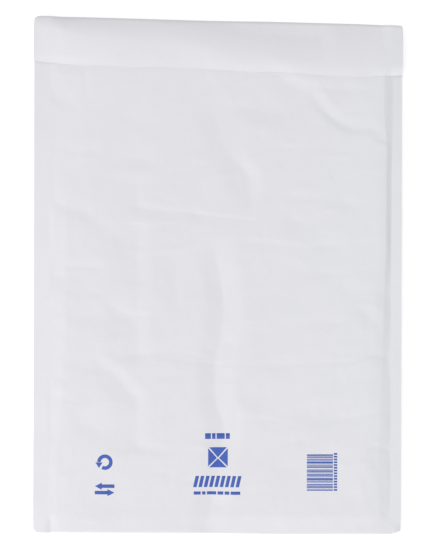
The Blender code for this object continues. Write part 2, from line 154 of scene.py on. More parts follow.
# Each crease of the front panel: depth, reach to the left and to the right of its line, rounding of its
# bottom, and points on the line with the share of the depth there. A negative depth is a ridge.
FRONT_CREASES = {
    "middle_valley": (1.8, 14, 16, 1.2, ((151.5, 10.5, 0.6), (153, 19, 0.8), (155.5, 29.5, 0.9),
        (160, 55.5, 0.9), (164.5, 81.5, 1), (164.5, 99, 1), (159.5, 112, 1), (158.5, 129.5, 1),
        (158, 151, 1), (161.5, 164, 1), (164, 177, 1), (165, 198.5, 1), (163, 216, 1),
        (159, 236, 0.9), (159, 248, 0.6), (158.5, 258, 0.1))),
    "flap_to_right": (1.1, 9, 45, 0.8, ((207, 404.5, 0.6), (212, 399.5, 0.9), (221, 391, 1),
        (235.5, 384, 1), (241.5, 383, 1), (247.5, 373, 0.6), (254.5, 366, 0.1))),
    "fold_to_wall": (0.95, 8, 5.5, 0.5, ((241.5, 383, 0.05), (247.5, 373, 0.5), (254.5, 366, 1),
        (262, 360, 1), (274, 353, 0.9), (283.5, 352, 0.8), (291, 352.5, 0.7), (300, 347.5, 0.7),
        (309.5, 341.5, 0.5))),
    "wall_fold_steep": (0.35, 2.5, 2.5, 0.3, ((306, 357, 0.1), (307.5, 352, 1), (310.5, 341.5, 0.6))),
    "wall_fold": (0.35, 2.5, 2.5, 0.3, ((294, 345, 0.1), (299, 343, 1), (310.5, 339.5, 0.8))),
    "upper_slope": (0.9, 16, 40, 1, ((180, 317.5, 0.1), (174, 326.5, 0.8), (169, 333, 1),
        (161, 350.5, 1), (155, 368, 1), (151.5, 382, 0.3))),
    "upper_middle": (1.3, 18, 10, 1, ((188, 279.5, 0.1), (187.5, 290, 0.5), (187.5, 302, 0.9),
        (186.5, 310, 1), (178.5, 320.5, 0.8), (173.5, 327, 0.3), (169, 333, 0.05))),
    "across": (0.6, 6, 9, 0.4, ((73.5, 279, 0.2), (85, 281, 0.6), (92.5, 281.5, 1),
        (114.5, 280.5, 1), (132, 279.5, 1), (145, 277, 0.5), (150, 277, 0.1))),
    "across_thin": (0.3, 2.5, 8, 0.3, ((134.5, 278.5, 0.2), (145, 277, 1), (164, 275, 0.9),
        (184, 273, 0.8), (198.5, 271.5, 0.2))),
    "left_valley": (0.8, 24, 11, 0.4, ((91, 71, 0.1), (90.5, 81.5, 1), (90.5, 118, 1),
        (90.5, 126.5, 0.4), (90.5, 149, 0.3), (90.5, 159.5, 1), (90.5, 187, 1), (90.5, 197.5, 0.4),
        (90, 213.5, 0.4), (90.5, 223.5, 1), (90, 263.5, 1), (90, 270.5, 0.3), (90, 280, 0.2),
        (90, 287, 1), (90, 303.5, 0.9), (90, 315, 0.1))),
    "valley_foot": (0.35, 6, 7, 0.5, ((86.5, 79.5, 0.2), (91.5, 75, 1), (110.5, 74, 0.9),
        (128, 75, 0.1))),
    "left_branch": (0.95, 9, 15, 1, ((29, 148, 0.2), (46.5, 145.5, 0.6), (61, 144, 0.9),
        (69.5, 138.5, 1), (79.5, 128, 1), (86.5, 119.5, 0.8), (90, 109, 0.2))),
    "light_band": (0.45, 16, 8, 1, ((122.5, 192.5, 0.2), (122.5, 203, 0.8), (123, 236, 1),
        (123, 246.5, 0.1))),
    "long_arc": (0.35, 9, 6, 0.3, ((68, 153.5, 0.2), (80, 154.5, 0.9), (102, 156, 1),
        (126, 157, 0.9), (141.5, 154.5, 0.9), (150.5, 149, 0.3))),
    "long_line": (0.15, 2.5, 2.5, 0.3, ((110.5, 152.5, 0.3), (126, 150.5, 0.9), (149.5, 148, 1),
        (175.5, 147, 0.6), (206, 147.5, 0.5), (232, 147.5, 0.8), (262.5, 149, 1), (277, 149.5, 0.8))),
    "long_line_end": (0.3, 5, 3, 0.3, ((271, 148, 0.3), (282.5, 151.5, 0.9), (291, 155, 1),
        (301.5, 154.5, 0.9), (309, 152.5, 0.5))),
    "short_line": (0.12, 2, 2, 0.3, ((177, 176, 0.2), (193.5, 176.5, 1), (212, 176.5, 0.2))),
    "right_below_flap": (0.7, 22, 12, 0.8, ((172.5, 368, 0.1), (183.5, 369, 0.8), (205, 367, 1),
        (221, 364, 0.1))),
    "right_edge_ridge": (-0.14, 3, 3, 0.3, ((276.5, 316.5, 0.2), (290.5, 316.5, 1), (306, 316.5, 0.7))),
    "right_shelf": (0.35, 10, 5, 0.5, ((217, 291, 0.1), (230, 291.5, 0.9), (254, 291, 0.7),
        (263.5, 290, 0.1))),
    "right_shelf_end": (0.4, 7, 10, 0.8, ((262.5, 293, 0.1), (273, 287.5, 1), (281, 280.5, 0.1))),
    "right_slant": (0.4, 8, 14, 0.8, ((218.5, 279.5, 0.1), (229, 271, 1), (243, 266, 0.1))),
    "right_middle": (0.35, 3, 9, 0.3, ((179.5, 254.5, 0.1), (188, 254, 1), (210, 252, 1),
        (231.5, 249, 0.7), (242, 247.5, 0.1))),
    "right_middle_end": (0.25, 8, 14, 0.8, ((231.5, 250, 0.1), (253.5, 250, 1), (285.5, 251, 0.8),
        (304.5, 252, 0.1))),
    "right_edge_line": (0.2, 4, 10, 0.5, ((277, 229, 0.1), (289, 229, 1), (304.5, 229.5, 0.6))),
    "right_thin_line": (0.14, 6, 2.5, 0.3, ((231.5, 225, 0.1), (251, 225.5, 0.9), (275, 225.5, 1),
        (284, 226, 0.2))),
    "right_lower_dent": (0.5, 14, 9, 0.6, ((264.5, 209.5, 0.1), (273.5, 211, 0.9), (294, 210.5, 1),
        (306.5, 209.5, 0.4))),
    "right_diagonal": (0.6, 9, 10, 0.8, ((277, 201, 0.1), (286.5, 194, 1), (295, 185.5, 0.9),
        (303, 176.5, 0.1))),
    "right_lower_shelf": (0.35, 14, 8, 0.6, ((218, 183.5, 0.1), (232, 184, 0.9), (258, 184, 1),
        (266.5, 182.5, 0.1))),
    "right_wall_dent": (0.5, 14, 12, 0.5, ((287.5, 160, 0.1), (294.5, 159, 0.9), (308.5, 154, 0.8))),
    "right_short_line": (0.3, 10, 5, 0.4, ((196.5, 144.5, 0.1), (204, 145, 1), (223.5, 145, 1),
        (229.5, 144.5, 0.1))),
    "right_patch": (0.55, 14, 18, 0.8, ((248.5, 115, 0.1), (253, 106, 1), (263.5, 102.5, 0.9),
        (272, 104.5, 0.1))),
    "right_low_rise": (0.3, 4, 5, 0.3, ((249.5, 97.5, 0.2), (271, 100.5, 1), (291, 104.5, 1),
        (306.5, 106.5, 0.7))),
    "right_low_wall": (0.4, 4, 4, 0.4, ((291, 77, 0.1), (298, 75.5, 1), (309.5, 73.5, 0.6))),
    "right_of_print": (0.25, 4, 9, 0.5, ((208, 58.5, 0.1), (215, 58, 1), (232, 58.5, 0.8),
        (241, 59.5, 0.1))),
    "long_rise": (0.3, 8, 6, 0.8, ((199, 87, 0.1), (232, 97.5, 0.6), (260, 98.5, 0.1))),
    "fold_above_print": (0.3, 7, 7, 0.8, ((176.5, 120, 0.1), (199, 117.5, 0.8), (223.5, 122.5, 0.1))),
    "left_below_flap": (0.3, 9, 12, 0.6, ((12.5, 382, 0.1), (19.5, 378, 1), (33.5, 373.5, 0.8),
        (38.5, 372.5, 0.1))),
    "left_upper_shelf": (0.35, 12, 5, 0.5, ((23, 331.5, 0.1), (33.5, 332.5, 1), (52.5, 332, 0.8),
        (58, 331, 0.1))),
    "left_arc": (0.6, 18, 9, 0.7, ((58, 317.5, 0.1), (68.5, 323.5, 0.9), (85.5, 325.5, 1),
        (101.5, 323, 0.9), (111.5, 316.5, 0.1))),
    "left_upper_slant": (0.5, 11, 8, 0.4, ((11, 293, 0.5), (20, 287.5, 0.9), (28.5, 283.5, 1),
        (46, 279.5, 0.6), (51, 279, 0.1))),
    "left_slant": (0.4, 8, 12, 0.6, ((39, 277.5, 0.1), (51, 271.5, 0.9), (66.5, 263.5, 1),
        (80.5, 256.5, 0.1))),
    "left_middle_line": (0.3, 8, 2.5, 0.3, ((20, 230.5, 0.2), (28.5, 231, 1), (49.5, 231, 0.9),
        (63.5, 229.5, 0.1))),
    "left_short_line": (0.25, 4, 10, 0.4, ((13, 221.5, 0.1), (22, 222.5, 1), (32, 223.5, 0.2))),
    "left_hook": (0.4, 9, 8, 0.6, ((65, 206, 0.1), (69.5, 197.5, 1), (79, 190.5, 0.9), (88, 190, 0.1))),
    "left_shelf": (0.45, 14, 9, 0.6, ((29, 187.5, 0.1), (39, 188.5, 0.9), (67, 188, 1),
        (84.5, 187, 0.8), (89.5, 187, 0.1))),
    "left_low_line": (0.4, 10, 4, 0.4, ((15, 134, 0.4), (22, 134.5, 1), (32.5, 133.5, 0.1))),
    "lower_left": (0.4, 14, 9, 0.7, ((32.5, 96, 0.1), (44.5, 93.5, 0.9), (57, 89, 1), (69, 81.5, 0.1))),
    "bottom_left": (0.3, 8, 8, 1, ((57, 47.5, 0.1), (76, 43, 1), (102, 38, 0.1))),
    "bottom_line": (-0.06, 1.6, 1.6, 0.3, ((15.5, 12.5, 0.3), (33, 12.5, 1), (128.5, 12.5, 1),
        (151, 12.5, 0.2))),
    "corner_fold": (0.25, 4, 4, 0.3, ((302, 22, 0.1), (307, 17, 0.9), (311, 12, 1), (313, 10, 0.6))),
}

# Creases of the pressed seams, which move both sheets
SEAM_CREASES = {
    "left_corner_notch": (1.2, 20, 4.2, 0.4, ((16, 17, 0.05), (15.8, 11.5, 0.75), (15.8, 5, 1),
        (15.8, 0.5, 1))),
    "right_corner_curl": (-1.1, 7, 7, 0.6, ((313, 0, 0.05), (315, 0, 1), (319, 0, 1), (321, 0, 1))),
    "left_speck": (0.25, 2, 2, 0.3, ((2, 135, 0.1), (5.5, 135.5, 1), (9, 135, 0.1))),
}

# Creases of the back panel, few and shallow
BACK_CREASES = {
    "back_middle": (0.5, 16, 16, 2.0, ((150, 40, 0.1), (156, 150, 0.8), (162, 260, 1), (170, 380, 0.1))),
    "back_left": (0.35, 10, 12, 1.5, ((70, 330, 0.1), (90, 290, 1), (120, 270, 0.1))),
    "back_right": (0.35, 12, 10, 1.5, ((210, 130, 0.1), (245, 118, 1), (290, 120, 0.2))),
    "back_lower": (0.3, 8, 8, 1.0, ((40, 90, 0.1), (80, 84, 1), (130, 92, 0.1))),
}

# Creases of the flap, from the left edge and from its free edge
FLAP_CREASES = {
    "flap_diagonal": (-0.6, 24, 14, 2.5, ((100, 36, 0.1), (115, 31.5, 0.8), (149, 19, 1),
        (171, 11.5, 1), (197, 6, 0.3))),
    "flap_dent": (0.9, 10, 22, 1.5, ((160, 36, 0.1), (178, 34, 0.6), (200, 33, 1), (232, 33, 1),
        (249, 33, 0.8), (262, 33, 0.1))),
    "flap_notch": (0.45, 10, 6, 0.5, ((250, 41, 0.8), (249, 36, 1), (249, 26, 0.6), (250, 18, 0.1))),
    "flap_left": (0.15, 5, 6, 0.8, ((20, 36, 0.1), (19, 26, 1), (22, 16, 0.1))),
}

# Short folds all over the front panel: how many, half length, depth, reach, rounding, and the corners of
# the area of their middles. Their turn from straight across has a spread and now and then a quarter turn.
FOLD_SEED = 5
FOLD_COUNT = 170
FOLD_HALF_LENGTH = (6, 22)
FOLD_DEPTH = (0.08, 0.28)
FOLD_REACH = (2.5, 8)
FOLD_ROUNDING = 0.3
FOLD_AREA_LOW = (14.0, 8.0)
FOLD_AREA_HIGH = (306.0, 398.0)
FOLD_SPREAD = 0.15
FOLD_TURNS = (0, 0, 0, 0, 0, 0.5)
FOLD_END_SHARE = 0.1

# Fine waves that paper takes when it has been handled: shortest and longest wave, height and how many
COCKLE_SEED = 11
COCKLE_WAVES = ((9, 22, 0.011, 26), (24, 55, 0.05, 14), (60, 130, 0.12, 7))
COCKLE_SPREAD = 3.1
COCKLE_DRIFT = 0.9
SWELL_BESIDE = 0.61
SWELL_ALONG = 0.23

# How finely the jacket is divided. A crowd is where lines lie closer. It ends in a half width and factor,
# after its middle where that is set here.
SEAM_CELLS = 8
CAVITY_CELLS = 188
INSIDE_EVERY = 4
FRONT_CELLS = 248
HIDDEN_CELLS = 8
CURL_CELLS = 8
FLAP_CELLS = 36
SLOPE_ROWS = np.array([0, 0.15, 0.5, 1.1, 1.9, 2.8, 3.8, 5.2, 6.8, 8.6, 10.5, 12.5, 14.5]) * MM
INSIDE_SLOPE_ROWS = np.array([3, 5, 7, 9, 11])
SEAM_CROWDING = 1.8
WALL_CROWD = (9 * MM, 1.4)
VALLEY_CROWD = (9 * MM, 0.5)
VALLEY_ACROSS = 160 * MM
ROW_CROWDS = ((276 * MM, 9 * MM, 0.8), (150 * MM, 6 * MM, 0.8))
EDGE_CROWD = (5 * MM, 0.8)
EDGE_OVERLAP = 1 * MM
SHARP_ANGLE = math.radians(40)
SHARP_FILM_ANGLE = math.radians(50)

# Bubble film: the room to its neighbours, which is a share of the pocket where that is less, the bubbles'
# distance from the pocket's edges in radii, and rings of one bubble as shares of its radius and height
FILM_GAP = 0.15 * MM
FILM_GAP_SHARE = 0.25
FILM_SHARE = 0.2
FILM_SETBACK = 5 * MM
LEAST_BUBBLE = 0.6 * MM
MOST_BUBBLE = 2.4 * MM
FOOT_OVERLAP = 0.05 * MM
BUBBLES_FROM_SIDE = 1.6
BUBBLES_FROM_FOLD = 1.4
BUBBLES_FROM_LIP = 1.2
BUBBLE_SIDES = 10
PLACES_AROUND = 12
BUBBLE_RINGS = ((1.0, 0.0), (0.92, 0.65), (0.55, 1.0))

# Adhesive and release strip
ADHESIVE = 0.2 * MM
RELEASE = 0.12 * MM
STRIP_GAP = 0.08 * MM
ADHESIVE_WIDTH = 20 * MM
ADHESIVE_MARGIN = 10 * MM
ADHESIVE_END = 8 * MM
RELEASE_OVERHANG = 4 * MM
RELEASE_END = 3 * MM
STRIP_COLUMNS = 161
STRIP_ROWS = 17

# Print, in millimetres from the left edge and from the bottom fold
LOOP_MIDDLE = (62.7, 62)
LOOP_INNER = 3.6
LOOP_OUTER = 6.7
LOOP_ANGLES = (-118, 180)
LOOP_HALF_HEAD = 3.1
LOOP_HEAD_BASE = 0.3
LOOP_HEAD_TIP = 5.2
ARROWS_X = (54, 71)
ARROWS_Y = (41.1, 35.5)
ARROW_HALF_SHAFT = 1.5
ARROW_HALF_HEAD = 3.0
ARROW_HEAD = 6
SIGN_MIDDLE = (160.8, 66.4)
SIGN_HALF_WIDTH = 8.5
SIGN_HALF_HEIGHT = 8.7
SIGN_BARE = 0.45
SIGN_MEETING_DROP = 0.6
INK_TIP_SHARE = 0.03
SHORT_LINE = (149.6, 82.4, 87.3, (5, 3, 7, 3.4), 1.0)
LONG_LINE = (139.9, 34.1, 36.8, (6, 3, 8, 5, 4, 8.3), 1.2)
BAND_X = (139.3, 180.7)
BAND_Y = (40.6, 50.3)
STRIPE_STEP = 4.6
STRIPE_WIDTH = 3.0
STRIPE_LEAN = 2.2
BARS_X = (238, 260.6)
BARS_Y = (37.8, 70.9)
BAR_UNIT = 0.42
BAR_RHYTHM = (2, 1, 3, 1, 2, 2, 1, 4, 1, 2)
BARE_RHYTHM = (1, 2, 1, 1, 3, 1, 1, 2, 1)
TICKS_X = (261.4, 264.3)
TICK_STEP = 2.4
TICK_HEIGHT = 1.5

# Stage
FLOOR_SIZE = 24.0
FLOOR_GLOW = 0.42
DOME_LIGHT = 0.72
KEY_DISTANCE = 5.0
KEY_WIDTH = 1.1
KEY_RISE = math.radians(35)
KEY_TURN = math.radians(225)
KEY_POWER = 120.0
KEY_COLOUR = (1.0, 0.99, 0.995)
SIDE_PLACE = (0.5, 0.0, 0.4)
SIDE_AIM = (0.1, 0, 0)
SIDE_WIDTH = 0.3
SIDE_POWER = 0.1
SIDE_COLOUR = (0.3, 1.0, 0.9)
CAMERA_PLACE = (-0.0005, 0.0012)
CAMERA_HEIGHT = 1.15
CAMERA_ROLL = 0.0031
SENSOR_HEIGHT = 0.024
VIEW_HEIGHT = 0.47725
CLIP_START = 0.01
WHITE = (1.0, 1.0, 1.0, 1.0)


def linear_from_hex(text):
    """An sRGB hex colour as linear red, green and blue."""
    values = np.array([int(text[i : i + 2], 16) for i in (0, 2, 4)]) / 255
    linear = np.where(values <= 0.04045, values / 12.92, ((values + 0.055) / 1.055) ** 2.4)
    return tuple(float(value) for value in linear)


class EnvelopeSizes(bpy.types.PropertyGroup):
    """Sizes of the envelope"""

    width: bpy.props.FloatProperty(
        name="Width", description="Over the outer edges of the seams", default=JACKET_HIGH.x - JACKET_LOW.x,
        unit="LENGTH")
    length: bpy.props.FloatProperty(
        name="Length", description="Bottom fold to flap fold, along the middle",
        default=JACKET_HIGH.y - JACKET_LOW.y - FOLD_SKEW / 2, unit="LENGTH")
    seam_left: bpy.props.FloatProperty(
        name="Left Seam", description="Width of the pressed seam at the left",
        default=13.3 * MM, unit="LENGTH")
    seam_right: bpy.props.FloatProperty(
        name="Right Seam", description="Width of the pressed seam at the right",
        default=8.2 * MM, unit="LENGTH")
    seam_droop: bpy.props.FloatProperty(
        name="Seam Droop",
        description="How far the seams' outer edges hang down, as a share of the photographed ones",
        default=1.0, min=0.0, max=1.2, subtype="FACTOR")
    flap_depth: bpy.props.FloatProperty(
        name="Flap Depth", description="Flap fold to free edge, at the left", default=43 * MM, unit="LENGTH")
    paper: bpy.props.FloatProperty(
        name="Paper", description="Thickness of the paper", default=0.15 * MM, unit="LENGTH")
    crease_depth: bpy.props.FloatProperty(
        name="Crease Depth", description="Depth of all creases, as a share of the photographed ones",
        default=1.0, min=0.0, max=1.2, subtype="FACTOR")
    film: bpy.props.FloatProperty(
        name="Film", description="Thickness of the film's flat web", default=0.12 * MM, unit="LENGTH")
    bubble_pitch: bpy.props.FloatProperty(
        name="Bubble Pitch", description="Middle of one bubble to the next in its row", default=11 * MM,
        unit="LENGTH")
    bubble_diameter: bpy.props.FloatProperty(
        name="Bubble Diameter", description="Diameter of a bubble at its foot",
        default=9.5 * MM, unit="LENGTH")
    ink_lift: bpy.props.FloatProperty(
        name="Ink Lift", description="Height of the ink over the paper", default=0.05 * MM, unit="LENGTH")


def colour_property(name, description, text):
    """A colour to choose, whose default is an sRGB hex colour."""
    return bpy.props.FloatVectorProperty(
        name=name, description=description, subtype="COLOR", size=3, min=0, max=1,
        default=linear_from_hex(text))


class EnvelopeColours(bpy.types.PropertyGroup):
    """Colours of the envelope"""

    paper: colour_property("Paper", "White kraft paper", "E2E1E6")
    ink: colour_property("Ink", "Blue flexographic ink", "3F60B8")
    film: colour_property("Film", "Clear polyethylene", "EEF2F4")
    adhesive: colour_property("Adhesive", "Hot-melt adhesive", "E3D9AE")
    release: colour_property("Release Strip", "Siliconised paper", "EDEDE9")
    floor: colour_property("Floor", "Plain pale floor", "F3F3F3")


def smooth_step(share):
    """3 t squared - 2 t cubed, where t is the share, held between 0 and 1."""
    share = np.clip(share, 0.0, 1.0)
    return share * share * (3 - 2 * share)


def step_past(place, start, width):
    """A smooth step from 0 at the start to 1 where the place is a width past it."""
    return smooth_step((place - start) / width)


def eased(place, stations, values):
    """Values at stations along a line, with a smooth step from each to the next."""
    after = np.clip(np.searchsorted(stations, place), 1, len(stations) - 1)
    share = smooth_step((place - stations[after - 1]) / (stations[after] - stations[after - 1]))
    return values[after - 1] + (values[after] - values[after - 1]) * share


def quarter_round(share):
    """Height of a quarter ellipse: steep at 0 and level at 1."""
    return np.sqrt(1 - (1 - np.clip(share, 0.0, 1.0)) ** 2)


def bottom_line(size, x):
    """Y of the bottom fold: straight but for a slight belly towards the right, which is a bell curve, with
    a quarter round at its left end and a straight cut at its right."""
    from_left = x + size.width / 2
    from_right = size.width / 2 - x
    left = CORNER_RADIUS * (1 - quarter_round(from_left / CORNER_RADIUS))
    right = CORNER_CUT_UP * np.clip(1 - from_right / CORNER_CUT_ACROSS, 0.0, 1.0)
    belly = BOTTOM_BELLY * np.exp(-(((x / size.width - 0.22) / 0.18) ** 2))
    return -(size.length + FOLD_SKEW / 2) / 2 + left + right - belly


def fold_line(size, x):
    """Y of the flap fold: a straight line that falls towards the right."""
    return -(size.length + FOLD_SKEW / 2) / 2 + size.length - FOLD_SKEW * x / size.width


def rounded_fold_line(size, x):
    """The flap fold with a quarter round at each end and a slight belly towards the right."""
    from_left = x + size.width / 2
    from_right = size.width / 2 - x
    left = FOLD_CORNER_LEFT * (1 - quarter_round(from_left / FOLD_CORNER_LEFT))
    right = FOLD_CORNER_RIGHT * (1 - quarter_round(from_right / FOLD_CORNER_RIGHT))
    across = x / size.width + 0.5
    belly = FOLD_BELLY * step_past(across, 0.45, 0.25) * (1 - step_past(across, 0.88, 0.1))
    return fold_line(size, x) - left - right + belly


def lip_line(size, x):
    """Y of the front panel's lip: the flap fold's straight line, moved down by a setback."""
    return fold_line(size, x) - LIP_SETBACK


def free_edge_line(size, x):
    """Y of the flap's free edge: parallel to the fold but for its taper and a slow unevenness."""
    across = x + size.width / 2
    depth = size.flap_depth + FLAP_TAPER * across / size.width + eased(across, EDGE_STATIONS, EDGE_WAVE)
    return fold_line(size, x) - depth


def up_panel(size, y):
    """Distance from the bottom fold's straight line."""
    return y + (size.length + FOLD_SKEW / 2) / 2


def within_seams(size, x):
    """Distance inside the nearer seam's inner edge, negative on the seam itself."""
    return np.where(x < 0, x + size.width / 2 - size.seam_left, size.width / 2 - size.seam_right - x)


def wall_rise(inward, up, stations, first, straight, share, soft):
    """A wall's rise from 0 to 1: a straight part, mixed with a soft part that levels out as 1 - (1 - d) **
    1.5. Its start, the parts' widths and the straight part's share change slowly along the panel."""
    inward = inward - eased(up, stations, first)
    steep = np.clip(inward / eased(up, stations, straight), 0.0, 1.0)
    slow = 1 - (1 - np.clip(inward / eased(up, stations, soft), 0.0, 1.0)) ** 1.5
    return slow + eased(up, stations, share) * (steep - slow)


def front_rise(size, x, y):
    """0 on the seams and 1 on the panel."""
    up = up_panel(size, y)
    inward = within_seams(size, x)
    left = wall_rise(inward, up, LEFT_STATIONS, LEFT_START, LEFT_STRAIGHT, LEFT_SHARE, LEFT_SOFT)
    right = wall_rise(inward, up, RIGHT_STATIONS, RIGHT_START, RIGHT_STRAIGHT, RIGHT_SHARE, RIGHT_SOFT)
    return np.where(x < 0, left, right)


def back_rise(size, x):
    """0 on the seams and 1 on the back panel, along a smooth step."""
    return smooth_step(within_seams(size, x) / BACK_REACH)


def bottom_rise(size, x, y):
    """0 on the bottom fold and 1 past it: a small quarter round, mixed with a straight slope. The slope's
    share grows towards the right in smooth steps."""
    distance = y - bottom_line(size, x)
    across = x / size.width + 0.5
    slope_share = LEAST_SLOPE
    for gain, start, width in SLOPE_GAINS:
        slope_share = slope_share + gain * step_past(across, start, width)
    slope = np.clip(distance / BOTTOM_SLOPE, 0.0, 1.0)
    return (1 - slope_share) * quarter_round(distance / BOTTOM_ROUND) + slope_share * slope


def seam_underside(size, x, y):
    """Height of a seam's underside. It droops towards its outer edge and waves gently along its length."""
    up = up_panel(size, y)
    outward = np.clip(-within_seams(size, x) / size.seam_left, 0.0, 1.0)
    wave = sum(height * np.sin(up / length + phase * np.sign(x)) for height, length, phase in SEAM_WAVES)
    droop = np.where(x < 0, eased(up, LEFT_STATIONS, LEFT_DROOP), eased(up, RIGHT_STATIONS, RIGHT_DROOP))
    relief = size.crease_depth * crease_relief(x + size.width / 2, up, SEAM_CREASES)
    return SEAM_LIFT - (size.seam_droop * droop - wave) * outward - relief


def smooth_line(points):
    """Points of a crease, with three more between each two on a Catmull-Rom curve, in metres."""
    points = np.array(points, float) * (MM, MM, 1)
    padded = np.vstack([2 * points[0] - points[1], points, 2 * points[-1] - points[-2]])
    before, start, end, after = padded[:-3], padded[1:-2], padded[2:-1], padded[3:]
    pieces = []
    for t in (0.0, 0.25, 0.5, 0.75):
        pieces.append(
            0.5 * (2 * start + (end - before) * t + (2 * before - 5 * start + 4 * end - after) * t**2
                   + (3 * start - before - 3 * end + after) * t**3))
    return np.vstack([np.stack(pieces, axis=1).reshape(-1, 3), points[-1]])


def crease_relief(across, up, creases):
    """Depth of all creases at each place. From its line a crease rises straight, as 1 - t, where t is the
    distance over the reach on that side. It rounds off over the last fifth, along (1.2 - t) squared / 0.8,
    and near the line, where the distance d becomes the root of d squared + rounding squared, less the
    rounding."""
    depth = np.zeros(across.shape)
    for full_depth, reach_left, reach_right, rounding, points in creases.values():
        line = smooth_line(points)
        reach = 1.2 * max(reach_left, reach_right) * MM
        low = line[:, :2].min(axis=0) - reach
        high = line[:, :2].max(axis=0) + reach
        near = (across > low[0]) & (across < high[0]) & (up > low[1]) & (up < high[1])
        px = across[near][:, None]
        py = up[near][:, None]
        start = line[:-1]
        run = line[1:] - start
        square_length = (run[:, :2] ** 2).sum(axis=1)
        along = ((px - start[:, 0]) * run[:, 0] + (py - start[:, 1]) * run[:, 1]) / square_length
        along = np.clip(along, 0.0, 1.0)
        dx = px - start[:, 0] - along * run[:, 0]
        dy = py - start[:, 1] - along * run[:, 1]
        away = np.hypot(dx, dy)
        nearest = away.argmin(axis=1)
        row = np.arange(len(nearest))
        away = away[row, nearest]
        side = run[nearest, 0] * dy[row, nearest] - run[nearest, 1] * dx[row, nearest]
        share = start[nearest, 2] + along[row, nearest] * run[nearest, 2]
        round_off = rounding * MM
        away = np.sqrt(away**2 + round_off**2) - round_off
        blend = smooth_step(0.5 + side / np.hypot(run[nearest, 0], run[nearest, 1]) / (2 * round_off))
        t = away / (MM * (reach_right + (reach_left - reach_right) * blend))
        depth[near] += full_depth * MM * share * np.where(t < 0.8, 1 - t, np.maximum(1.2 - t, 0.0) ** 2 / 0.8)
    return depth


def short_folds():
    """Seeded short creases and ridges, most of them nearly across the panel."""
    random = np.random.default_rng(FOLD_SEED)
    folds = {}
    for number in range(FOLD_COUNT):
        middle = random.uniform(FOLD_AREA_LOW, FOLD_AREA_HIGH)
        half = random.uniform(*FOLD_HALF_LENGTH)
        turn = random.normal(0.0, FOLD_SPREAD) + random.choice(FOLD_TURNS) * math.pi
        step = half * np.array([math.cos(turn), math.sin(turn)])
        depth = random.uniform(*FOLD_DEPTH) * random.choice((-1, 1))
        reach = random.uniform(*FOLD_REACH, 2)
        ends = ((*(middle - step), FOLD_END_SHARE), (*(middle + step), FOLD_END_SHARE))
        folds[number] = (depth, *reach, FOLD_ROUNDING, (ends[0], (*middle, 1.0), ends[1]))
    return folds


def cockle(across, up):
    """Fine relief: a sum of plane waves with seeded directions, lengths and phases. Each wave is a sine
    whose crests are drawn together, and its phase drifts with a slower wave, so that no pattern repeats."""
    random = np.random.default_rng(COCKLE_SEED)
    relief = np.zeros(across.shape)
    for shortest, longest, height, count in COCKLE_WAVES:
        for _ in range(count):
            turn = random.uniform(0, math.pi)
            wavelength = random.uniform(shortest, longest) * MM
            phase = random.uniform(0, 2 * math.pi, 3)
            along = (across * math.cos(turn) + up * math.sin(turn)) / wavelength
            beside = (up * math.cos(turn) - across * math.sin(turn)) / (COCKLE_SPREAD * wavelength)
            drift = COCKLE_DRIFT * np.sin(2 * math.pi * beside + phase[1])
            swell = 0.5 + 0.5 * np.sin(2 * math.pi * (SWELL_BESIDE * beside + SWELL_ALONG * along) + phase[2])
            relief += height * MM * swell * np.sin(2 * math.pi * along + drift + phase[0])
    return relief


def front_height(size, x, y):
    """Outside of the front panel: the seam, then the wall's rise to the panel, less creases and cockle.
    Towards its lip, under the flap, the panel sinks and gets smoother. It sinks a little towards the lower
    corners too."""
    up = up_panel(size, y)
    across = x + size.width / 2
    rise = front_rise(size, x, y) * bottom_rise(size, x, y)
    seam = seam_underside(size, x, y) + 2 * size.paper + SEAM_FILM
    past_edge = y - free_edge_line(size, x)
    lip_sink = LIP_SINK + LIP_SINK_GAIN * step_past(across / size.width, *LIP_GAIN_ACROSS)
    sink = lip_sink * step_past(past_edge, *LIP_SINK_PAST_EDGE)
    low_corners = (1 - step_past(up, *LOW_CORNERS_UP)) * step_past(abs(x), *LOW_CORNERS_OUT)
    sink = sink + np.where(x < 0, LOW_LEFT_SINK, LOW_RIGHT_SINK) * low_corners
    creases = crease_relief(across, up, FRONT_CREASES) + crease_relief(across, up, short_folds())
    relief = cockle(across, up) - size.crease_depth * creases
    room = step_past(within_seams(size, x), *CREASES_FROM_SEAM)
    room = room * step_past(y - bottom_line(size, x), *CREASES_FROM_BOTTOM)
    smoothed = LIP_SMOOTHED * step_past(past_edge, *LIP_SMOOTH_PAST_EDGE)
    return seam + (FULL_HEIGHT - seam - sink) * rise + relief * room * (1 - smoothed)


def back_height(size, x, y):
    """Outside of the back panel: it lifts to the seams and the bottom fold, and keeps shallow creases. The
    surface that it lies on flattens what would hang lower: half the sum of the relief and its length when
    taken as one leg beside a short one, which is always above zero."""
    up = up_panel(size, y)
    across = x + size.width / 2
    rise = back_rise(size, x) * bottom_rise(size, x, y)
    relief = size.crease_depth * crease_relief(across, up, BACK_CREASES)
    relief = relief + BACK_COCKLE * cockle(-across, up)
    relief = (relief + np.hypot(relief, BACK_EASE)) / 2
    return seam_underside(size, x, y) * (1 - rise) + relief * rise


def nose_height(size, x):
    """Height where the paper stands on edge in the flap fold: a share of the way from the back panel to the
    flap's highest line."""
    back = back_height(size, x, lip_line(size, x))
    return back + eased(x + size.width / 2, CREST_STATIONS, NOSE_SHARE) * (flap_crest(size, x) - back)


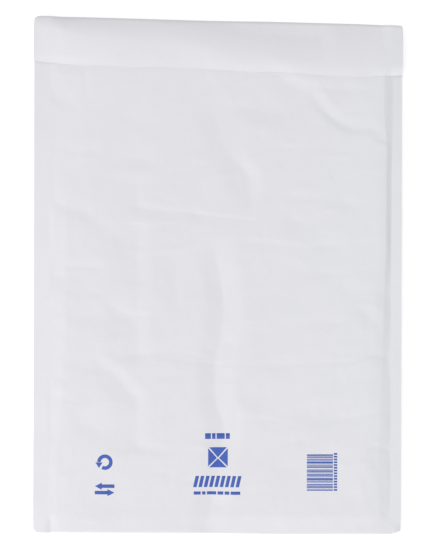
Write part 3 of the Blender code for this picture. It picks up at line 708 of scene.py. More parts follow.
def flap_crest(size, x):
    """Height of the flap's highest line: level but for a sine wave and a smooth step down towards the right.
    Past the walls its sides hang down along smooth steps."""
    past_walls = np.clip(1 - within_seams(size, x) / CREST_SIDES, 0.0, 2.0)
    across = x / size.width + 0.5
    height, radians, phase = CREST_WAVE
    wave = height * np.sin(radians * across + phase)
    sag = CREST_SAG * step_past(across, *CREST_SAG_ACROSS)
    side_fall = np.where(x < 0, LEFT_FALL, RIGHT_FALL) * smooth_step(past_walls / 2)
    return JACKET_HIGH.z - CREST_ROOM + wave - sag - side_fall


def flap_height(size, x, y):
    """Outside of the flap: a small quarter ellipse at the fold and a parabola up to the highest line, then
    a fall to the free edge that grows as the distance to the power of 1.6, and a last few millimetres that
    curl down."""
    fold = rounded_fold_line(size, x)
    edge = free_edge_line(size, x)
    from_edge = y - edge
    crest = flap_crest(size, x)
    reach = eased(x + size.width / 2, CREST_STATIONS, CREST_REACH)
    round_share = eased(x + size.width / 2, CREST_STATIONS, NOSE_ROUND_SHARE)
    nose = nose_height(size, x)
    away = fold - y
    bulge = 1 - (1 - np.clip(away / reach, 0.0, 1.0)) ** 2
    bulge += round_share * (quarter_round(away / NOSE_ROUND) - bulge)
    height = nose + (crest - nose) * bulge
    fall_share = np.clip((fold - reach - y) / (fold - reach - edge), 0.0, 1.0)
    panel = np.maximum(front_height(size, x, edge), front_height(size, x, edge + PANEL_BEHIND_EDGE))
    edge_height = np.maximum(panel, LEAST_EDGE_HEIGHT) + size.paper + EDGE_GAP
    fall = FALL_SHARE * fall_share**FALL_POWER + CURL_SHARE * smooth_step(1 - from_edge / CURL_LENGTH)
    height = height - (crest - edge_height) * fall
    relief = size.crease_depth * crease_relief(x + size.width / 2, from_edge, FLAP_CREASES)
    relief = relief - FLAP_COCKLE * cockle(x + size.width, from_edge)
    relief = relief * step_past(fold - y, *CREASES_FROM_FOLD)
    return height - relief * step_past(from_edge, *CREASES_FROM_EDGE)


def spaced(start, end, cells, crowds):
    """Places from start to end that lie closer together near each crowd's middle, half width and factor:
    equal steps of the running sum of the density 1 + factor * exp(-(distance / half width) ** 2)."""
    fine = np.linspace(start, end, 4001)
    density = np.ones(fine.shape)
    for middle, half_width, factor in crowds:
        density += factor * np.exp(-(((fine - middle) / half_width) ** 2))
    total = np.concatenate([[0.0], np.cumsum((density[1:] + density[:-1]) / 2)])
    return np.interp(np.linspace(0.0, total[-1], cells + 1), total, fine)


def jacket_columns(size):
    """X of the jacket's columns of points, and the first and last column of the cavity between the seams."""
    outward = np.linspace(0.0, 1.0, SEAM_CELLS + 1)
    left_edge = -size.width / 2
    right_edge = size.width / 2
    left = left_edge + size.seam_left * outward**SEAM_CROWDING
    right = right_edge - size.seam_right * outward**SEAM_CROWDING
    crowds = [(left[-1], *WALL_CROWD), (right[-1], *WALL_CROWD), (left_edge + VALLEY_ACROSS, *VALLEY_CROWD)]
    cavity = spaced(left[-1], right[-1], CAVITY_CELLS, crowds)
    return np.concatenate([left[:-1], cavity, right[-2::-1]]), SEAM_CELLS, SEAM_CELLS + CAVITY_CELLS


def front_rows(size, x):
    """Y of the rows up the front panel: near the bottom fold at set distances from it, then evenly spread
    to the flap's free edge but closer at two sharp creases, then a few under the flap to the lip."""
    bottom = bottom_line(size, x)
    edge = free_edge_line(size, x) + EDGE_OVERLAP
    top_of_slope = bottom + SLOPE_ROWS[-1]
    visible = up_panel(size, free_edge_line(size, np.zeros(1)))[0]
    crowds = [*ROW_CROWDS, (visible, *EDGE_CROWD)]
    shares = spaced(SLOPE_ROWS[-1], visible, FRONT_CELLS, crowds)
    shares = (shares - shares[0]) / (shares[-1] - shares[0])
    hidden = np.linspace(0.0, 1.0, HIDDEN_CELLS + 1)[1:]
    return np.vstack([
        bottom + SLOPE_ROWS[:-1, None],
        top_of_slope + shares[:, None] * (edge - top_of_slope),
        edge + hidden[:, None] * (lip_line(size, x) - edge),
    ])


def with_heights(size, x, rows, height):
    """Grid of points from the columns' x, the rows' y and a height function."""
    across = np.broadcast_to(x, rows.shape)
    return np.stack([across, rows, height(size, across, rows)], axis=-1)


def wrap_grid(size, x):
    """Outer points of the paper from the lip's level round the flap fold to the free edge: a quarter
    ellipse up to the fold, then the flap, with rows that lie closer near the fold and the free edge. From
    the lip to the fold the paper flares a little past the panel's sides."""
    lip = lip_line(size, x)
    fold = rounded_fold_line(size, x)
    back = back_height(size, x, lip)
    nose = nose_height(size, x)
    curl_start = fold_line(size, x) - NOSE_REACH
    turn = np.linspace(0.0, math.pi / 2, CURL_CELLS + 1)[:-1, None]
    curl_y = curl_start + (fold - curl_start) * np.sin(turn)
    curl_z = nose - (nose - back) * np.cos(turn)
    shares = np.linspace(0.0, 1.0, FLAP_CELLS + 1)[:, None]
    shares = 0.45 * shares**2.6 + 0.55 * (1 - (1 - shares) ** 1.25)
    shares = shares * np.linspace(0.0, 1.0, FLAP_CELLS + 1)[:, None] ** 0.8
    flap_y = fold - shares * (fold - free_edge_line(size, x))
    flap_z = flap_height(size, np.broadcast_to(x, flap_y.shape), flap_y)
    y = np.vstack([lip, curl_y, flap_y])
    z = np.vstack([back, curl_z, flap_z])
    flare = smooth_step((y - lip) / (fold - lip))
    flare[CURL_CELLS + 1 :] = 1.0
    return np.stack([x * (1 + FLAP_FLARE * flare), y, z], axis=-1)


def offset_in_rows(grid, distance):
    """The grid moved by a distance along the direction that stands square to its rows' path in Y and Z."""
    along = np.gradient(grid[..., 1:], axis=0)
    along[0] = (1.0, 0.0)
    along /= np.linalg.norm(along, axis=-1, keepdims=True)
    moved = grid.copy()
    moved[..., 1] -= distance * along[..., 1]
    moved[..., 2] += distance * along[..., 0]
    return moved


def least_nearby(heights, rows, columns):
    """Lowest height within a number of rows and columns of each place."""
    padded = np.pad(heights, ((rows, rows), (columns, columns)), mode="edge")
    window = (2 * rows + 1, 2 * columns + 1)
    return np.lib.stride_tricks.sliding_window_view(padded, window).min(axis=(-1, -2))


def stacked(*grids):
    """All points of several grids in one array, and each grid's vertex numbers in its own shape."""
    numbers = []
    total = 0
    for grid in grids:
        count = grid.shape[0] * grid.shape[1]
        numbers.append(total + np.arange(count).reshape(grid.shape[:2]))
        total += count
    return np.concatenate([grid.reshape(-1, 3) for grid in grids]), numbers


def quads(numbers, turned=False):
    """Four-sided faces between each row of vertex numbers and the next. Turned ones face the other way."""
    faces = np.stack([numbers[:-1, :-1], numbers[:-1, 1:], numbers[1:, 1:], numbers[1:, :-1]], axis=-1)
    faces = faces.reshape(-1, 4)
    return faces[:, ::-1] if turned else faces


def strip(lower, upper, turned=False):
    """Faces between two equally long rows of vertex numbers."""
    return quads(np.stack([lower, upper]), turned)


def stepped_strip(fine, coarse, turned=False):
    """Faces between a row and one that has only each fourth of its points."""
    cells = len(coarse) - 1
    step = (len(fine) - 1) // cells
    places = np.arange(cells)[:, None] * step + np.arange(step + 1)
    faces = np.concatenate([fine[places], coarse[1:, None], coarse[:-1, None]], axis=1)
    return faces[:, ::-1] if turned else faces


def mesh_object(name, points, face_sets, material, smooth_angle=None):
    """One object from its points and from arrays of faces, where each array has faces of one width."""
    mesh = bpy.data.meshes.new(name)
    loops = np.concatenate([faces.ravel() for faces in face_sets]).astype(np.int32)
    widths = np.concatenate([np.full(len(faces), faces.shape[1]) for faces in face_sets])
    starts = np.concatenate([[0], np.cumsum(widths)[:-1]]).astype(np.int32)
    mesh.vertices.add(len(points))
    mesh.vertices.foreach_set("co", np.ascontiguousarray(points, np.float32).ravel())
    mesh.loops.add(len(loops))
    mesh.loops.foreach_set("vertex_index", loops)
    mesh.polygons.add(len(widths))
    mesh.polygons.foreach_set("loop_start", starts)
    mesh.update(calc_edges=True)
    mesh.shade_smooth()
    if smooth_angle is not None:
        mesh.set_sharp_from_angle(angle=smooth_angle)
    mesh.materials.append(material)
    thing = bpy.data.objects.new(name, mesh)
    bpy.context.scene.collection.objects.link(thing)
    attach(thing, BODY)
    return thing


def height_on(grid, x, y):
    """Height of a gridded surface over each x and y: the two columns beside x are mixed, then the two rows
    beside y."""
    columns = grid[0, :, 0]
    right = np.clip(np.searchsorted(columns, x), 1, len(columns) - 1)
    left = right - 1
    share = ((x - columns[left]) / (columns[right] - columns[left]))[:, None]
    line = grid[:, left] * (1 - share) + grid[:, right] * share
    upper = np.clip((line[..., 1] <= y).sum(axis=0), 1, len(line) - 1)
    picked = np.arange(len(x))
    below = line[upper - 1, picked]
    above = line[upper, picked]
    mix = np.clip((y - below[:, 1]) / (above[:, 1] - below[:, 1]), 0.0, 1.0)
    return below[:, 2] + (above[:, 2] - below[:, 2]) * mix


def node(tree, kind, settings=None, **links):
    """Adds a shader node. Settings are its own properties and the values of its inputs, by name, and links
    join its inputs to other nodes' outputs. An input's spaces are written as underscores."""
    added = tree.nodes.new(kind)
    for name, value in (settings or {}).items():
        if name in added.inputs:
            added.inputs[name].default_value = value
        else:
            setattr(added, name, value)
    for name, output in links.items():
        tree.links.new(output, added.inputs[name.replace("_", " ")])
    return added


def empty_tree(data):
    """The node tree of a material or world, with nothing in it."""
    data.use_nodes = True
    data.node_tree.nodes.clear()
    return data.node_tree


def mottled_colour(tree, colour, darker, size_mm, place):
    """A colour that drifts down to a darker share of itself in soft patches of a given size."""
    noise = {"Scale": 1000 / size_mm, "Detail": 3.0, "Roughness": 0.6}
    patches = node(tree, "ShaderNodeTexNoise", noise, Vector=place)
    ramp = node(tree, "ShaderNodeValToRGB", Fac=patches.outputs["Fac"])
    ramp.color_ramp.elements[0].position = 0.3
    ramp.color_ramp.elements[0].color = (*[darker * value for value in colour], 1.0)
    ramp.color_ramp.elements[1].position = 0.7
    ramp.color_ramp.elements[1].color = (*colour, 1.0)
    return ramp.outputs["Color"]


def surface(name, colour, cloud, values, grain=None, stretch=None, bump=None):
    """A material: a Principled BSDF with set values. Its cloud is the darker share of its colour and the
    patches' size in millimetres. Its grain is a noise, stretched if so asked, that is seen as a bump."""
    material = bpy.data.materials.new(name)
    tree = empty_tree(material)
    shader = node(tree, "ShaderNodeBsdfPrincipled", values)
    node(tree, "ShaderNodeOutputMaterial", Surface=shader.outputs["BSDF"])
    place = node(tree, "ShaderNodeTexCoord").outputs["Object"]
    tree.links.new(mottled_colour(tree, colour, *cloud, place), shader.inputs["Base Color"])
    if grain:
        if stretch:
            place = node(tree, "ShaderNodeMapping", {"Scale": stretch}, Vector=place).outputs["Vector"]
        relief = node(tree, "ShaderNodeTexNoise", grain, Vector=place)
        bumps = node(tree, "ShaderNodeBump", bump, Height=relief.outputs["Fac"])
        tree.links.new(bumps.outputs["Normal"], shader.inputs["Normal"])
    return material


def white_kraft_paper(colour):
    """Machine-finished white kraft: a matt sheet with a faint cloud in its colour, felted fibres about a
    millimetre long and a very fine tooth."""
    return surface(
        "white_kraft_paper", colour, (0.985, 3.0),
        {"Roughness": 0.62, "IOR": 1.5, "Specular IOR Level": 0.35},
        {"Scale": 900.0, "Detail": 4.0, "Roughness": 0.65}, (1.0, 0.45, 1.0),
        {"Strength": 0.25, "Distance": 0.00006})


def printing_ink(colour):
    """Water-based flexographic ink: thin and matt, so that the paper's cloud shows through it."""
    return surface("flexographic_ink", colour, (0.86, 0.8), {"Roughness": 0.55, "IOR": 1.5})


def polyethylene_film(colour):
    """Low-density polyethylene, blown thin: clear, slightly milky and slippery, with fine wrinkles."""
    return surface(
        "polyethylene_film", colour, (0.94, 9.0),
        {"Roughness": 0.18, "IOR": 1.51, "Transmission Weight": 0.7},
        {"Scale": 320.0, "Detail": 5.0, "Roughness": 0.5, "Distortion": 1.4}, None,
        {"Strength": 0.4, "Distance": 0.0001})


def hot_melt_adhesive(colour):
    """Pressure-sensitive hot melt, drawn on warm: glossy and honey coloured, with faint lines along it."""
    return surface(
        "hot_melt_adhesive", colour, (0.9, 6.0), {"Roughness": 0.22, "IOR": 1.49, "Coat Weight": 0.4},
        {"Scale": 900.0, "Detail": 2.0}, (0.06, 1.0, 1.0), {"Strength": 0.5, "Distance": 0.0001})


def siliconised_paper(colour):
    """Glassine release paper: dense and smooth, with a satin shine from its silicone coat."""
    return surface(
        "siliconised_paper", colour, (0.96, 2.0), {"Roughness": 0.34, "IOR": 1.45, "Coat Weight": 0.25},
        {"Scale": 1400.0, "Detail": 2.0}, None, {"Strength": 0.15, "Distance": 0.00004})


def closed_slab(top, bottom):
    """Points and faces of a thin slab between two grids of the same shape, the top one above the other."""
    points, (top_n, bottom_n) = stacked(top, bottom)
    faces = [quads(top_n), quads(bottom_n, True), strip(bottom_n[0], top_n[0])]
    faces += [strip(bottom_n[-1], top_n[-1], True)]
    faces += [strip(bottom_n[:, 0], top_n[:, 0], True), strip(bottom_n[:, -1], top_n[:, -1])]
    return points, np.concatenate(faces)


def join_slabs(slabs):
    """Points and faces of several slabs as one set."""
    starts = np.cumsum([0] + [len(points) for points, _ in slabs[:-1]])
    points = np.concatenate([points for points, _ in slabs])
    return points, np.concatenate([faces + first for (_, faces), first in zip(slabs, starts)])


def inside_grids(size, x, first, last):
    """The front panel's outer grid, and coarse grids of the paper's two inner faces between the seams.
    The front one lies under the lowest place of the outer surface near each of its points, so that it
    never comes through a sharp crease."""
    rows = front_rows(size, x)
    front = with_heights(size, x, rows, front_height)
    lowest = least_nearby(front[..., 2], INSIDE_EVERY, INSIDE_EVERY) - size.paper
    columns = np.arange(first, last + 1, INSIDE_EVERY)
    slope_end = len(SLOPE_ROWS) - 1
    picked_rows = np.concatenate([INSIDE_SLOPE_ROWS, np.arange(slope_end, len(rows), INSIDE_EVERY)])
    picked = np.ix_(picked_rows, columns)
    front_inside = front[picked].copy()
    front_inside[..., 2] = lowest[picked]
    back_inside = front_inside.copy()
    back_inside[..., 2] = back_height(size, back_inside[..., 0], back_inside[..., 1]) + size.paper
    front_inside[..., 2] = np.maximum(front_inside[..., 2], back_inside[..., 2] + SEAM_FILM)
    return front, front_inside, back_inside


class ENVELOPE_OT_paper_jacket(bpy.types.Operator):
    """Builds the paper jacket: front panel, bottom fold, back panel, flap fold and flap as one sheet"""

    bl_idname = "envelope.paper_jacket"
    bl_label = "Paper Jacket"

    def execute(self, context):
        size = context.scene.envelope_sizes
        x, first, last = jacket_columns(size)
        front, front_inside, back_inside = inside_grids(size, x, first, last)
        slope_end = len(SLOPE_ROWS) - 1
        back_picked = np.concatenate([np.arange(slope_end), np.arange(slope_end, len(front), INSIDE_EVERY)])
        back = with_heights(size, x, front[back_picked[:-1], :, 1], back_height)
        wrap = wrap_grid(size, x)
        wrap_inside = offset_in_rows(wrap, size.paper)
        points, numbers = stacked(front, back, wrap, wrap_inside, front_inside, back_inside[:-1])
        front_n, back_n, wrap_n, in_wrap_n, in_front_n, in_back_n = numbers
        back_n = np.vstack([back_n, wrap_n[:1]])
        cavity = slice(first, last + 1)

        faces = [quads(front_n), quads(back_n, True), quads(wrap_n, True), quads(in_wrap_n)]
        faces += [quads(in_front_n, True), quads(in_back_n)]
        faces += [strip(back_n[0], front_n[0]), strip(in_back_n[0], in_front_n[0], True)]
        faces += [strip(in_wrap_n[-1], wrap_n[-1])]
        faces += [stepped_strip(front_n[-1, cavity], in_front_n[-1])]
        faces += [stepped_strip(in_wrap_n[0, cavity], in_back_n[-1], True)]
        faces += [strip(front_n[-1, :first], in_wrap_n[0, :first])]
        faces += [strip(front_n[-1, last + 1 :], in_wrap_n[0, last + 1 :])]
        for side, seam, beside, left in ((0, first, first - 1, True), (-1, last, last + 1, False)):
            end = (in_wrap_n[0, beside], in_wrap_n[0, seam], in_front_n[-1, side], front_n[-1, seam])
            faces.append(turned_if(left, np.array([[*end, front_n[-1, beside]]])))
            outer = front_n[:, side]
            under = back_n[:, side]
            faces.append(strip(under[: slope_end + 1], outer[: slope_end + 1], left))
            faces.append(stepped_strip(outer[slope_end : -INSIDE_EVERY], under[slope_end:-1], not left))
            corner = (*outer[-INSIDE_EVERY - 1 :], in_wrap_n[0, side], under[-1], under[-2])
            faces.append(turned_if(not left, np.array([corner])))
            faces.append(strip(wrap_n[:, side], in_wrap_n[:, side], left))
            cavity_under = np.append(in_back_n[:, side], in_wrap_n[0, seam])
            faces.append(strip(cavity_under, in_front_n[:, side], not left))
        jacket = mesh_object(
            "creased_paper_jacket", points, faces, white_kraft_paper(context.scene.envelope_colours.paper),
            SHARP_ANGLE)
        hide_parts("paper_jacket")
        return {"FINISHED"}


def turned_if(condition, faces):
    """The faces, which face the other way if the condition holds."""
    return faces[:, ::-1] if condition else faces


def bubble_shape():
    """Points and faces of one bubble of height and radius 1: three rings, with a flat foot and a flat top."""
    turn = np.linspace(0.0, 2 * math.pi, BUBBLE_SIDES, endpoint=False)
    rings = [
        np.stack([radius * np.cos(turn), radius * np.sin(turn), np.full(BUBBLE_SIDES, height)], axis=-1)
        for radius, height in BUBBLE_RINGS
    ]
    numbers = np.arange(len(rings) * BUBBLE_SIDES).reshape(len(rings), BUBBLE_SIDES)
    around = np.concatenate([numbers, numbers[:, :1]], axis=1)
    return np.concatenate(rings), quads(around), np.stack([numbers[0, ::-1], numbers[-1]])


def bubble_centres(size, low, high):
    """Centres on a lattice of equal triangles, rows across, that fill the box from low to high."""
    pitch = size.bubble_pitch
    row_step = pitch * math.sqrt(3) / 2
    rows = np.arange(low[1], high[1], row_step)
    places = np.arange(low[0], high[0] - pitch / 2, pitch)
    x = places[None, :] + np.where(np.arange(len(rows)) % 2, pitch / 2, 0.0)[:, None]
    y = np.broadcast_to(rows[:, None], x.shape)
    return x.ravel(), y.ravel()


def heights_around(grid, x, y, radius):
    """Heights of a gridded surface at each place and at evenly spread places on a circle round it."""
    turn = np.linspace(0.0, 2 * math.pi, PLACES_AROUND, endpoint=False)
    across = x[:, None] + radius * np.append(0.0, np.cos(turn))
    up = y[:, None] + radius * np.append(0.0, np.sin(turn))
    return height_on(grid, across.ravel(), up.ravel()).reshape(across.shape)


class ENVELOPE_OT_bubble_lining(bpy.types.Operator):
    """Builds the folded sheet of bubble film, thinner where it's tight, with bubbles turned inwards"""

    bl_idname = "envelope.bubble_lining"
    bl_label = "Bubble Lining"

    def execute(self, context):
        size = context.scene.envelope_sizes
        x, first, last = jacket_columns(size)
        _, top, under = inside_grids(size, x, first, last)
        top = top[1:, 1:-1].copy()
        under = under[1:, 1:-1].copy()
        share = FILM_SETBACK / (top[-1, 0, 1] - top[-2, 0, 1])
        for grid in (top, under):
            grid[-1] = grid[-1] * (1 - share) + grid[-2] * share
        room = top[..., 2] - under[..., 2]
        gap = np.minimum(FILM_GAP, FILM_GAP_SHARE * room)
        film = np.minimum(size.film, FILM_SHARE * room)
        top[..., 2] -= gap
        under[..., 2] += gap
        inner_top = top.copy()
        inner_top[..., 2] -= film
        inner_under = under.copy()
        inner_under[..., 2] += film
        for grid in (inner_top, inner_under):
            grid[:, 0, 0] += size.film
            grid[:, -1, 0] -= size.film
            grid[0, :, 1] += size.film
        points, (top_n, under_n, in_top_n, in_under_n) = stacked(top, under, inner_top, inner_under)
        faces = [quads(top_n), quads(under_n, True), quads(in_top_n, True), quads(in_under_n)]
        faces += [strip(under_n[0], top_n[0]), strip(in_under_n[0], in_top_n[0], True)]
        faces += [strip(top_n[-1], in_top_n[-1]), strip(in_under_n[-1], under_n[-1])]
        for side, left in ((0, True), (-1, False)):
            faces.append(strip(under_n[:, side], top_n[:, side], left))
            faces.append(strip(in_under_n[:, side], in_top_n[:, side], not left))
            corner = (under_n[-1, side], in_under_n[-1, side], in_top_n[-1, side], top_n[-1, side])
            faces.append(turned_if(left, np.array([corner])))

        radius = size.bubble_diameter / 2
        from_side = BUBBLES_FROM_SIDE * radius
        low = (top[0, 0, 0] + from_side, top[0, :, 1].max() + BUBBLES_FROM_FOLD * radius)
        high = (top[0, -1, 0] - from_side, top[-1, :, 1].min() - BUBBLES_FROM_LIP * radius)
        x, y = bubble_centres(size, low, high)
        ceiling = heights_around(inner_top, x, y, radius).min(axis=-1)
        floor = heights_around(inner_under, x, y, radius).max(axis=-1)
        height = np.minimum((ceiling - floor - FILM_GAP) / 2, MOST_BUBBLE)
        kept = height > LEAST_BUBBLE
        x, y, ceiling, floor, height = (values[kept] for values in (x, y, ceiling, floor, height))
        unit, bands, caps = bubble_shape()
        for foot, up in ((floor - FOOT_OVERLAP, 1), (ceiling + FOOT_OVERLAP, -1)):
            centre = np.stack([x, y, foot], axis=-1)[:, None]
            radii = np.full(x.shape, radius)
            scale = np.stack([radii, radii, up * height], axis=-1)[:, None]
            first_number = len(points) + np.arange(len(x))[:, None, None] * len(unit)
            points = np.concatenate([points, (centre + unit * scale).reshape(-1, 3)])
            for shape in (bands, caps):
                faces.append(turned_if(up < 0, (shape + first_number).reshape(-1, shape.shape[1])))
        lining = mesh_object(
            "bubble_film", points, faces, polyethylene_film(context.scene.envelope_colours.film),
            SHARP_FILM_ANGLE)
        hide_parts("bubble_lining")
        return {"FINISHED"}


def flap_strip(size, end, margin, width, depth, thickness):
    """A band that hangs under the flap: its top follows the flap's outside at a set depth."""
    half = size.width / 2 - end
    x = np.linspace(-half, half, STRIP_COLUMNS)
    rows = free_edge_line(size, x) + np.linspace(margin, margin + width, STRIP_ROWS)[:, None]
    top = with_heights(size, x, rows, flap_height) - (0, 0, depth)
    return closed_slab(top, top - (0, 0, thickness))


class ENVELOPE_OT_flap_strips(bpy.types.Operator):
    """Builds the adhesive across the flap's inside and the release strip that covers it"""

    bl_idname = "envelope.flap_strips"
    bl_label = "Adhesive and Release Strip"

    def execute(self, context):
        size = context.scene.envelope_sizes
        colours = context.scene.envelope_colours
        depth = size.paper + STRIP_GAP
        margin = ADHESIVE_MARGIN - RELEASE_OVERHANG
        points, faces = flap_strip(size, ADHESIVE_END, ADHESIVE_MARGIN, ADHESIVE_WIDTH, depth, ADHESIVE)
        adhesive = mesh_object(
            "adhesive_band", points, [faces], hot_melt_adhesive(colours.adhesive), SHARP_ANGLE)
        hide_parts("adhesive_strip")
        depth += ADHESIVE + STRIP_GAP
        width = ADHESIVE_WIDTH + 2 * RELEASE_OVERHANG
        points, faces = flap_strip(size, RELEASE_END, margin, width, depth, RELEASE)
        release = mesh_object(
            "peel_off_strip", points, [faces], siliconised_paper(colours.release), SHARP_ANGLE)
        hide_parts("release_strip")
        return {"FINISHED"}


def field(near, far, cells=(4, 4)):
    """A grid between two lines of points: rows go from the near line to the far one."""
    near = np.array(near, float)
    far = np.array(far, float)
    along = np.linspace(0.0, len(near) - 1, cells[0] + 1)
    spots = np.arange(len(near))
    lines = [np.stack([np.interp(along, spots, line[:, k]) for k in (0, 1)], axis=-1) for line in (near, far)]
    up = np.linspace(0.0, 1.0, cells[1] + 1)[:, None, None]
    return lines[0] * (1 - up) + lines[1] * up


def box_field(left, low, right, high, cells, lean=0.0):
    """A rectangle whose upper side is moved sideways by lean."""
    return field([(left, low), (right, low)], [(left + lean, high), (right + lean, high)], cells)


def ring_field(middle, inner, outer, start, end):
    """Part of a ring between two angles in degrees, against the clock from +X."""
    turn = np.radians(np.linspace(end, start, 33))
    radius = np.linspace(inner, outer, 5)[:, None]
    return np.stack([middle[0] + radius * np.cos(turn), middle[1] + radius * np.sin(turn)], axis=-1)


def triangle_field(base_start, base_end, tip):
    """A triangle from its base to its tip, which is cut off where it would be finer than the ink's edge."""
    tip = np.array(tip, float)
    ends = [tip + (np.array(corner, float) - tip) * INK_TIP_SHARE for corner in (base_start, base_end)]
    return field([base_start, base_end], ends, (8, 8))


def arrow_fields(tail, tip, half_shaft, half_head, head):
    """A plain arrow along X: a shaft and a triangular head."""
    towards = math.copysign(1.0, tip[0] - tail[0])
    neck = tip[0] - towards * head
    low = min(tail[0], neck)
    high = max(tail[0], neck)
    shaft = box_field(low, tail[1] - half_shaft, high, tail[1] + half_shaft, (8, 3))
    corners = ((neck, tail[1] - towards * half_head), (neck, tail[1] + towards * half_head))
    return [shaft, triangle_field(corners[1], corners[0], tip)]


def dash_fields(left, low, high, lengths, gap):
    """Plain dashes in a row, one for each length."""
    fields = []
    for length in lengths:
        fields.append(box_field(left, low, left + length, high, (max(2, round(length)), 2)))
        left += length + gap
    return fields


def loop_marks():
    """A ring that is open at its lower left, with an arrow head at one end, as a plain sign for reuse."""
    x, y = LOOP_MIDDLE
    head_x = x - (LOOP_INNER + LOOP_OUTER) / 2
    base = y - LOOP_HEAD_BASE
    head = triangle_field(
        (head_x - LOOP_HALF_HEAD, base), (head_x + LOOP_HALF_HEAD, base), (head_x, y - LOOP_HEAD_TIP))
    return [ring_field(LOOP_MIDDLE, LOOP_INNER, LOOP_OUTER, *LOOP_ANGLES), head]


def pair_of_arrows():
    """Two plain arrows, the upper one to the left and the lower one to the right."""
    left, right = ARROWS_X
    upper, lower = ARROWS_Y
    sizes = (ARROW_HALF_SHAFT, ARROW_HALF_HEAD, ARROW_HEAD)
    to_left = arrow_fields((right, upper), (left, upper), *sizes)
    return to_left + arrow_fields((left, lower), (right, lower), *sizes)


def envelope_sign():
    """The back of an envelope as four triangles that leave thin bare lines between them."""
    x, y = SIGN_MIDDLE
    bare = SIGN_BARE
    meeting = y - SIGN_MEETING_DROP
    low, high = y - SIGN_HALF_HEIGHT, y + SIGN_HALF_HEIGHT
    left, right = x - SIGN_HALF_WIDTH, x + SIGN_HALF_WIDTH
    return [
        triangle_field((right - 2 * bare, high), (left + 2 * bare, high), (x, meeting + bare)),
        triangle_field((left + 2 * bare, low), (right - 2 * bare, low), (x, meeting - bare)),
        triangle_field((left, high - 2 * bare), (left, low + 2 * bare), (x - 2 * bare, meeting)),
        triangle_field((right, low + 2 * bare), (right, high - 2 * bare), (x + 2 * bare, meeting)),
    ]


def stripe_band():
    """Leaning stripes of one width, in the place of a printed word."""
    low, high = BAND_Y
    lefts = np.arange(BAND_X[0], BAND_X[1] - STRIPE_WIDTH, STRIPE_STEP)
    return [box_field(left, low, left + STRIPE_WIDTH, high, (4, 8), STRIPE_LEAN) for left in lefts]


def bar_block():
    """A stack of bars across, with a rhythm of widths that repeats, and a column of ticks beside it."""
    fields = []
    low, top = BARS_Y
    left, right = BARS_X
    step = 0
    while low + BAR_UNIT * max(BAR_RHYTHM) < top:
        height = BAR_UNIT * BAR_RHYTHM[step % len(BAR_RHYTHM)]
        fields.append(box_field(left, low, right, low + height, (14, 2)))
        low += height + BAR_UNIT * BARE_RHYTHM[step % len(BARE_RHYTHM)]
        step += 1
    for tick in np.arange(BARS_Y[0], BARS_Y[1] - 1, TICK_STEP):
        fields.append(box_field(TICKS_X[0], tick, TICKS_X[1], tick + TICK_HEIGHT, (3, 2)))
    return fields


class ENVELOPE_OT_print(bpy.types.Operator):
    """Lays the printed signs, stripes and bars on the front panel"""

    bl_idname = "envelope.print"
    bl_label = "Print"

    def execute(self, context):
        size = context.scene.envelope_sizes
        x, _, _ = jacket_columns(size)
        paper = with_heights(size, x, front_rows(size, x), front_height)
        marks = loop_marks() + pair_of_arrows() + envelope_sign() + stripe_band() + bar_block()
        marks += dash_fields(*SHORT_LINE) + dash_fields(*LONG_LINE)
        slabs = []
        for mark in marks:
            across = mark[..., 0] * MM - size.width / 2
            y = mark[..., 1] * MM - (size.length + FOLD_SKEW / 2) / 2
            height = height_on(paper, across.ravel(), y.ravel()).reshape(y.shape)
            top = np.stack([across, y, height + size.ink_lift], axis=-1)
            slabs.append(closed_slab(top, top - (0, 0, size.ink_lift / 2)))
        points, faces = join_slabs(slabs)
        ink = mesh_object("printed_marks", points, [faces], printing_ink(context.scene.envelope_colours.ink))
        return {"FINISHED"}


def seen_directly(tree):
    """1 for rays that show a surface to the eye, straight or through a mirror or glass, and 0 for light."""
    path = node(tree, "ShaderNodeLightPath")
    mirror = node(tree, "ShaderNodeMath", {"operation": "MAXIMUM"})
    tree.links.new(path.outputs["Is Glossy Ray"], mirror.inputs[0])
    tree.links.new(path.outputs["Is Transmission Ray"], mirror.inputs[1])
    seen = node(tree, "ShaderNodeMath", {"operation": "MAXIMUM"})
    tree.links.new(path.outputs["Is Camera Ray"], seen.inputs[0])
    tree.links.new(mirror.outputs[0], seen.inputs[1])
    return seen.outputs[0]


def pale_floor(colour):
    """Painted board: a matt floor that shows the object's shadow and whose lit part comes out white."""
    material = bpy.data.materials.new("painted_floor")
    tree = empty_tree(material)
    paint = node(tree, "ShaderNodeBsdfDiffuse", {"Color": (*colour, 1.0)})
    strength = node(tree, "ShaderNodeMath", {"operation": "MULTIPLY"}, Value=seen_directly(tree))
    strength.inputs[1].default_value = FLOOR_GLOW
    glow = node(tree, "ShaderNodeEmission", Strength=strength.outputs[0])
    both = node(tree, "ShaderNodeAddShader")
    tree.links.new(paint.outputs[0], both.inputs[0])
    tree.links.new(glow.outputs[0], both.inputs[1])
    node(tree, "ShaderNodeOutputMaterial", Surface=both.outputs[0])
    return material


def add_lamp(name, place, aim, width, power, colour):
    """A square lamp at a place, turned to face its aim."""
    lamp = bpy.data.lights.new(name, "AREA")
    lamp.size = width
    lamp.energy = power
    lamp.color = colour
    thing = bpy.data.objects.new(name, lamp)
    thing.location = place
    thing.rotation_euler = (Vector(aim) - Vector(place)).to_track_quat("-Z", "Y").to_euler()
    bpy.context.scene.collection.objects.link(thing)


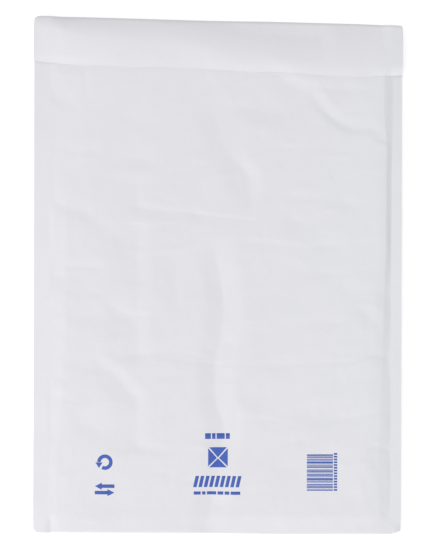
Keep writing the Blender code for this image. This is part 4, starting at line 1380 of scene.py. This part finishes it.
class ENVELOPE_OT_stage(bpy.types.Operator):
    """Builds the floor, the lamps, the surrounding light and the camera over the envelope"""

    bl_idname = "envelope.stage"
    bl_label = "Stage"

    def execute(self, context):
        scene = context.scene
        corners = FLOOR_SIZE / 2 * np.array([(-1, -1, 0), (1, -1, 0), (1, 1, 0), (-1, 1, 0)])
        mesh = bpy.data.meshes.new("floor")
        mesh.from_pydata(corners.tolist(), [], [(0, 1, 2, 3)])
        mesh.materials.append(pale_floor(scene.envelope_colours.floor))
        floor = bpy.data.objects.new("floor", mesh)
        scene.collection.objects.link(floor)

        world = bpy.data.worlds.new("surrounding_light")
        tree = empty_tree(world)
        light = node(tree, "ShaderNodeBackground", {"Color": WHITE, "Strength": DOME_LIGHT})
        shown = node(tree, "ShaderNodeBackground", {"Color": WHITE, "Strength": 1.0})
        mix = node(tree, "ShaderNodeMixShader", Fac=seen_directly(tree))
        tree.links.new(light.outputs[0], mix.inputs[1])
        tree.links.new(shown.outputs[0], mix.inputs[2])
        node(tree, "ShaderNodeOutputWorld", Surface=mix.outputs[0])
        scene.world = world

        reach = KEY_DISTANCE * math.cos(KEY_RISE)
        key_height = KEY_DISTANCE * math.sin(KEY_RISE)
        key_place = (reach * math.cos(KEY_TURN), reach * math.sin(KEY_TURN), key_height)
        add_lamp("key_lamp", key_place, (0, 0, 0), KEY_WIDTH, KEY_POWER, KEY_COLOUR)
        add_lamp("side_lamp", SIDE_PLACE, SIDE_AIM, SIDE_WIDTH, SIDE_POWER, SIDE_COLOUR)

        lens = bpy.data.cameras.new("camera")
        lens.sensor_fit = "VERTICAL"
        lens.sensor_height = SENSOR_HEIGHT * 1000
        lens.lens = SENSOR_HEIGHT * 1000 * CAMERA_HEIGHT / VIEW_HEIGHT
        lens.clip_start = CLIP_START
        camera = bpy.data.objects.new("camera", lens)
        camera.location = (*CAMERA_PLACE, CAMERA_HEIGHT)
        camera.rotation_euler = (0, 0, CAMERA_ROLL)
        scene.collection.objects.link(camera)
        scene.camera = camera
        scene.view_settings.view_transform = "Standard"
        return {"FINISHED"}


class ENVELOPE_PT_pieces(bpy.types.Panel):
    """Lists the envelope's pieces, sizes and colours"""

    bl_idname = "ENVELOPE_PT_pieces"
    bl_label = "Padded Envelope"
    bl_space_type = "VIEW_3D"
    bl_region_type = "UI"
    bl_category = "Envelope"

    def draw(self, context):
        for operator in OPERATORS:
            self.layout.operator(operator.bl_idname)
        for group in (context.scene.envelope_sizes, context.scene.envelope_colours):
            box = self.layout.box()
            for name in group.__annotations__:
                box.prop(group, name)


OPERATORS = (
    ENVELOPE_OT_stage,
    ENVELOPE_OT_paper_jacket,
    ENVELOPE_OT_bubble_lining,
    ENVELOPE_OT_flap_strips,
    ENVELOPE_OT_print,
)
CLASSES = (EnvelopeSizes, EnvelopeColours, *OPERATORS, ENVELOPE_PT_pieces)


def register():
    """Makes the classes known to Blender, with the sizes and colours on the scene."""
    for item in CLASSES:
        bpy.utils.register_class(item)
    bpy.types.Scene.envelope_sizes = bpy.props.PointerProperty(type=EnvelopeSizes)
    bpy.types.Scene.envelope_colours = bpy.props.PointerProperty(type=EnvelopeColours)


def unregister():
    """Takes back all that register did."""
    del bpy.types.Scene.envelope_colours
    del bpy.types.Scene.envelope_sizes
    for item in reversed(CLASSES):
        bpy.utils.unregister_class(item)


def main():
    """Builds the stage and all pieces."""
    register()
    bpy.ops.envelope.stage()
    bpy.ops.envelope.paper_jacket()
    bpy.ops.envelope.bubble_lining()
    bpy.ops.envelope.flap_strips()
    bpy.ops.envelope.print()


if __name__ == "__main__":
    main()
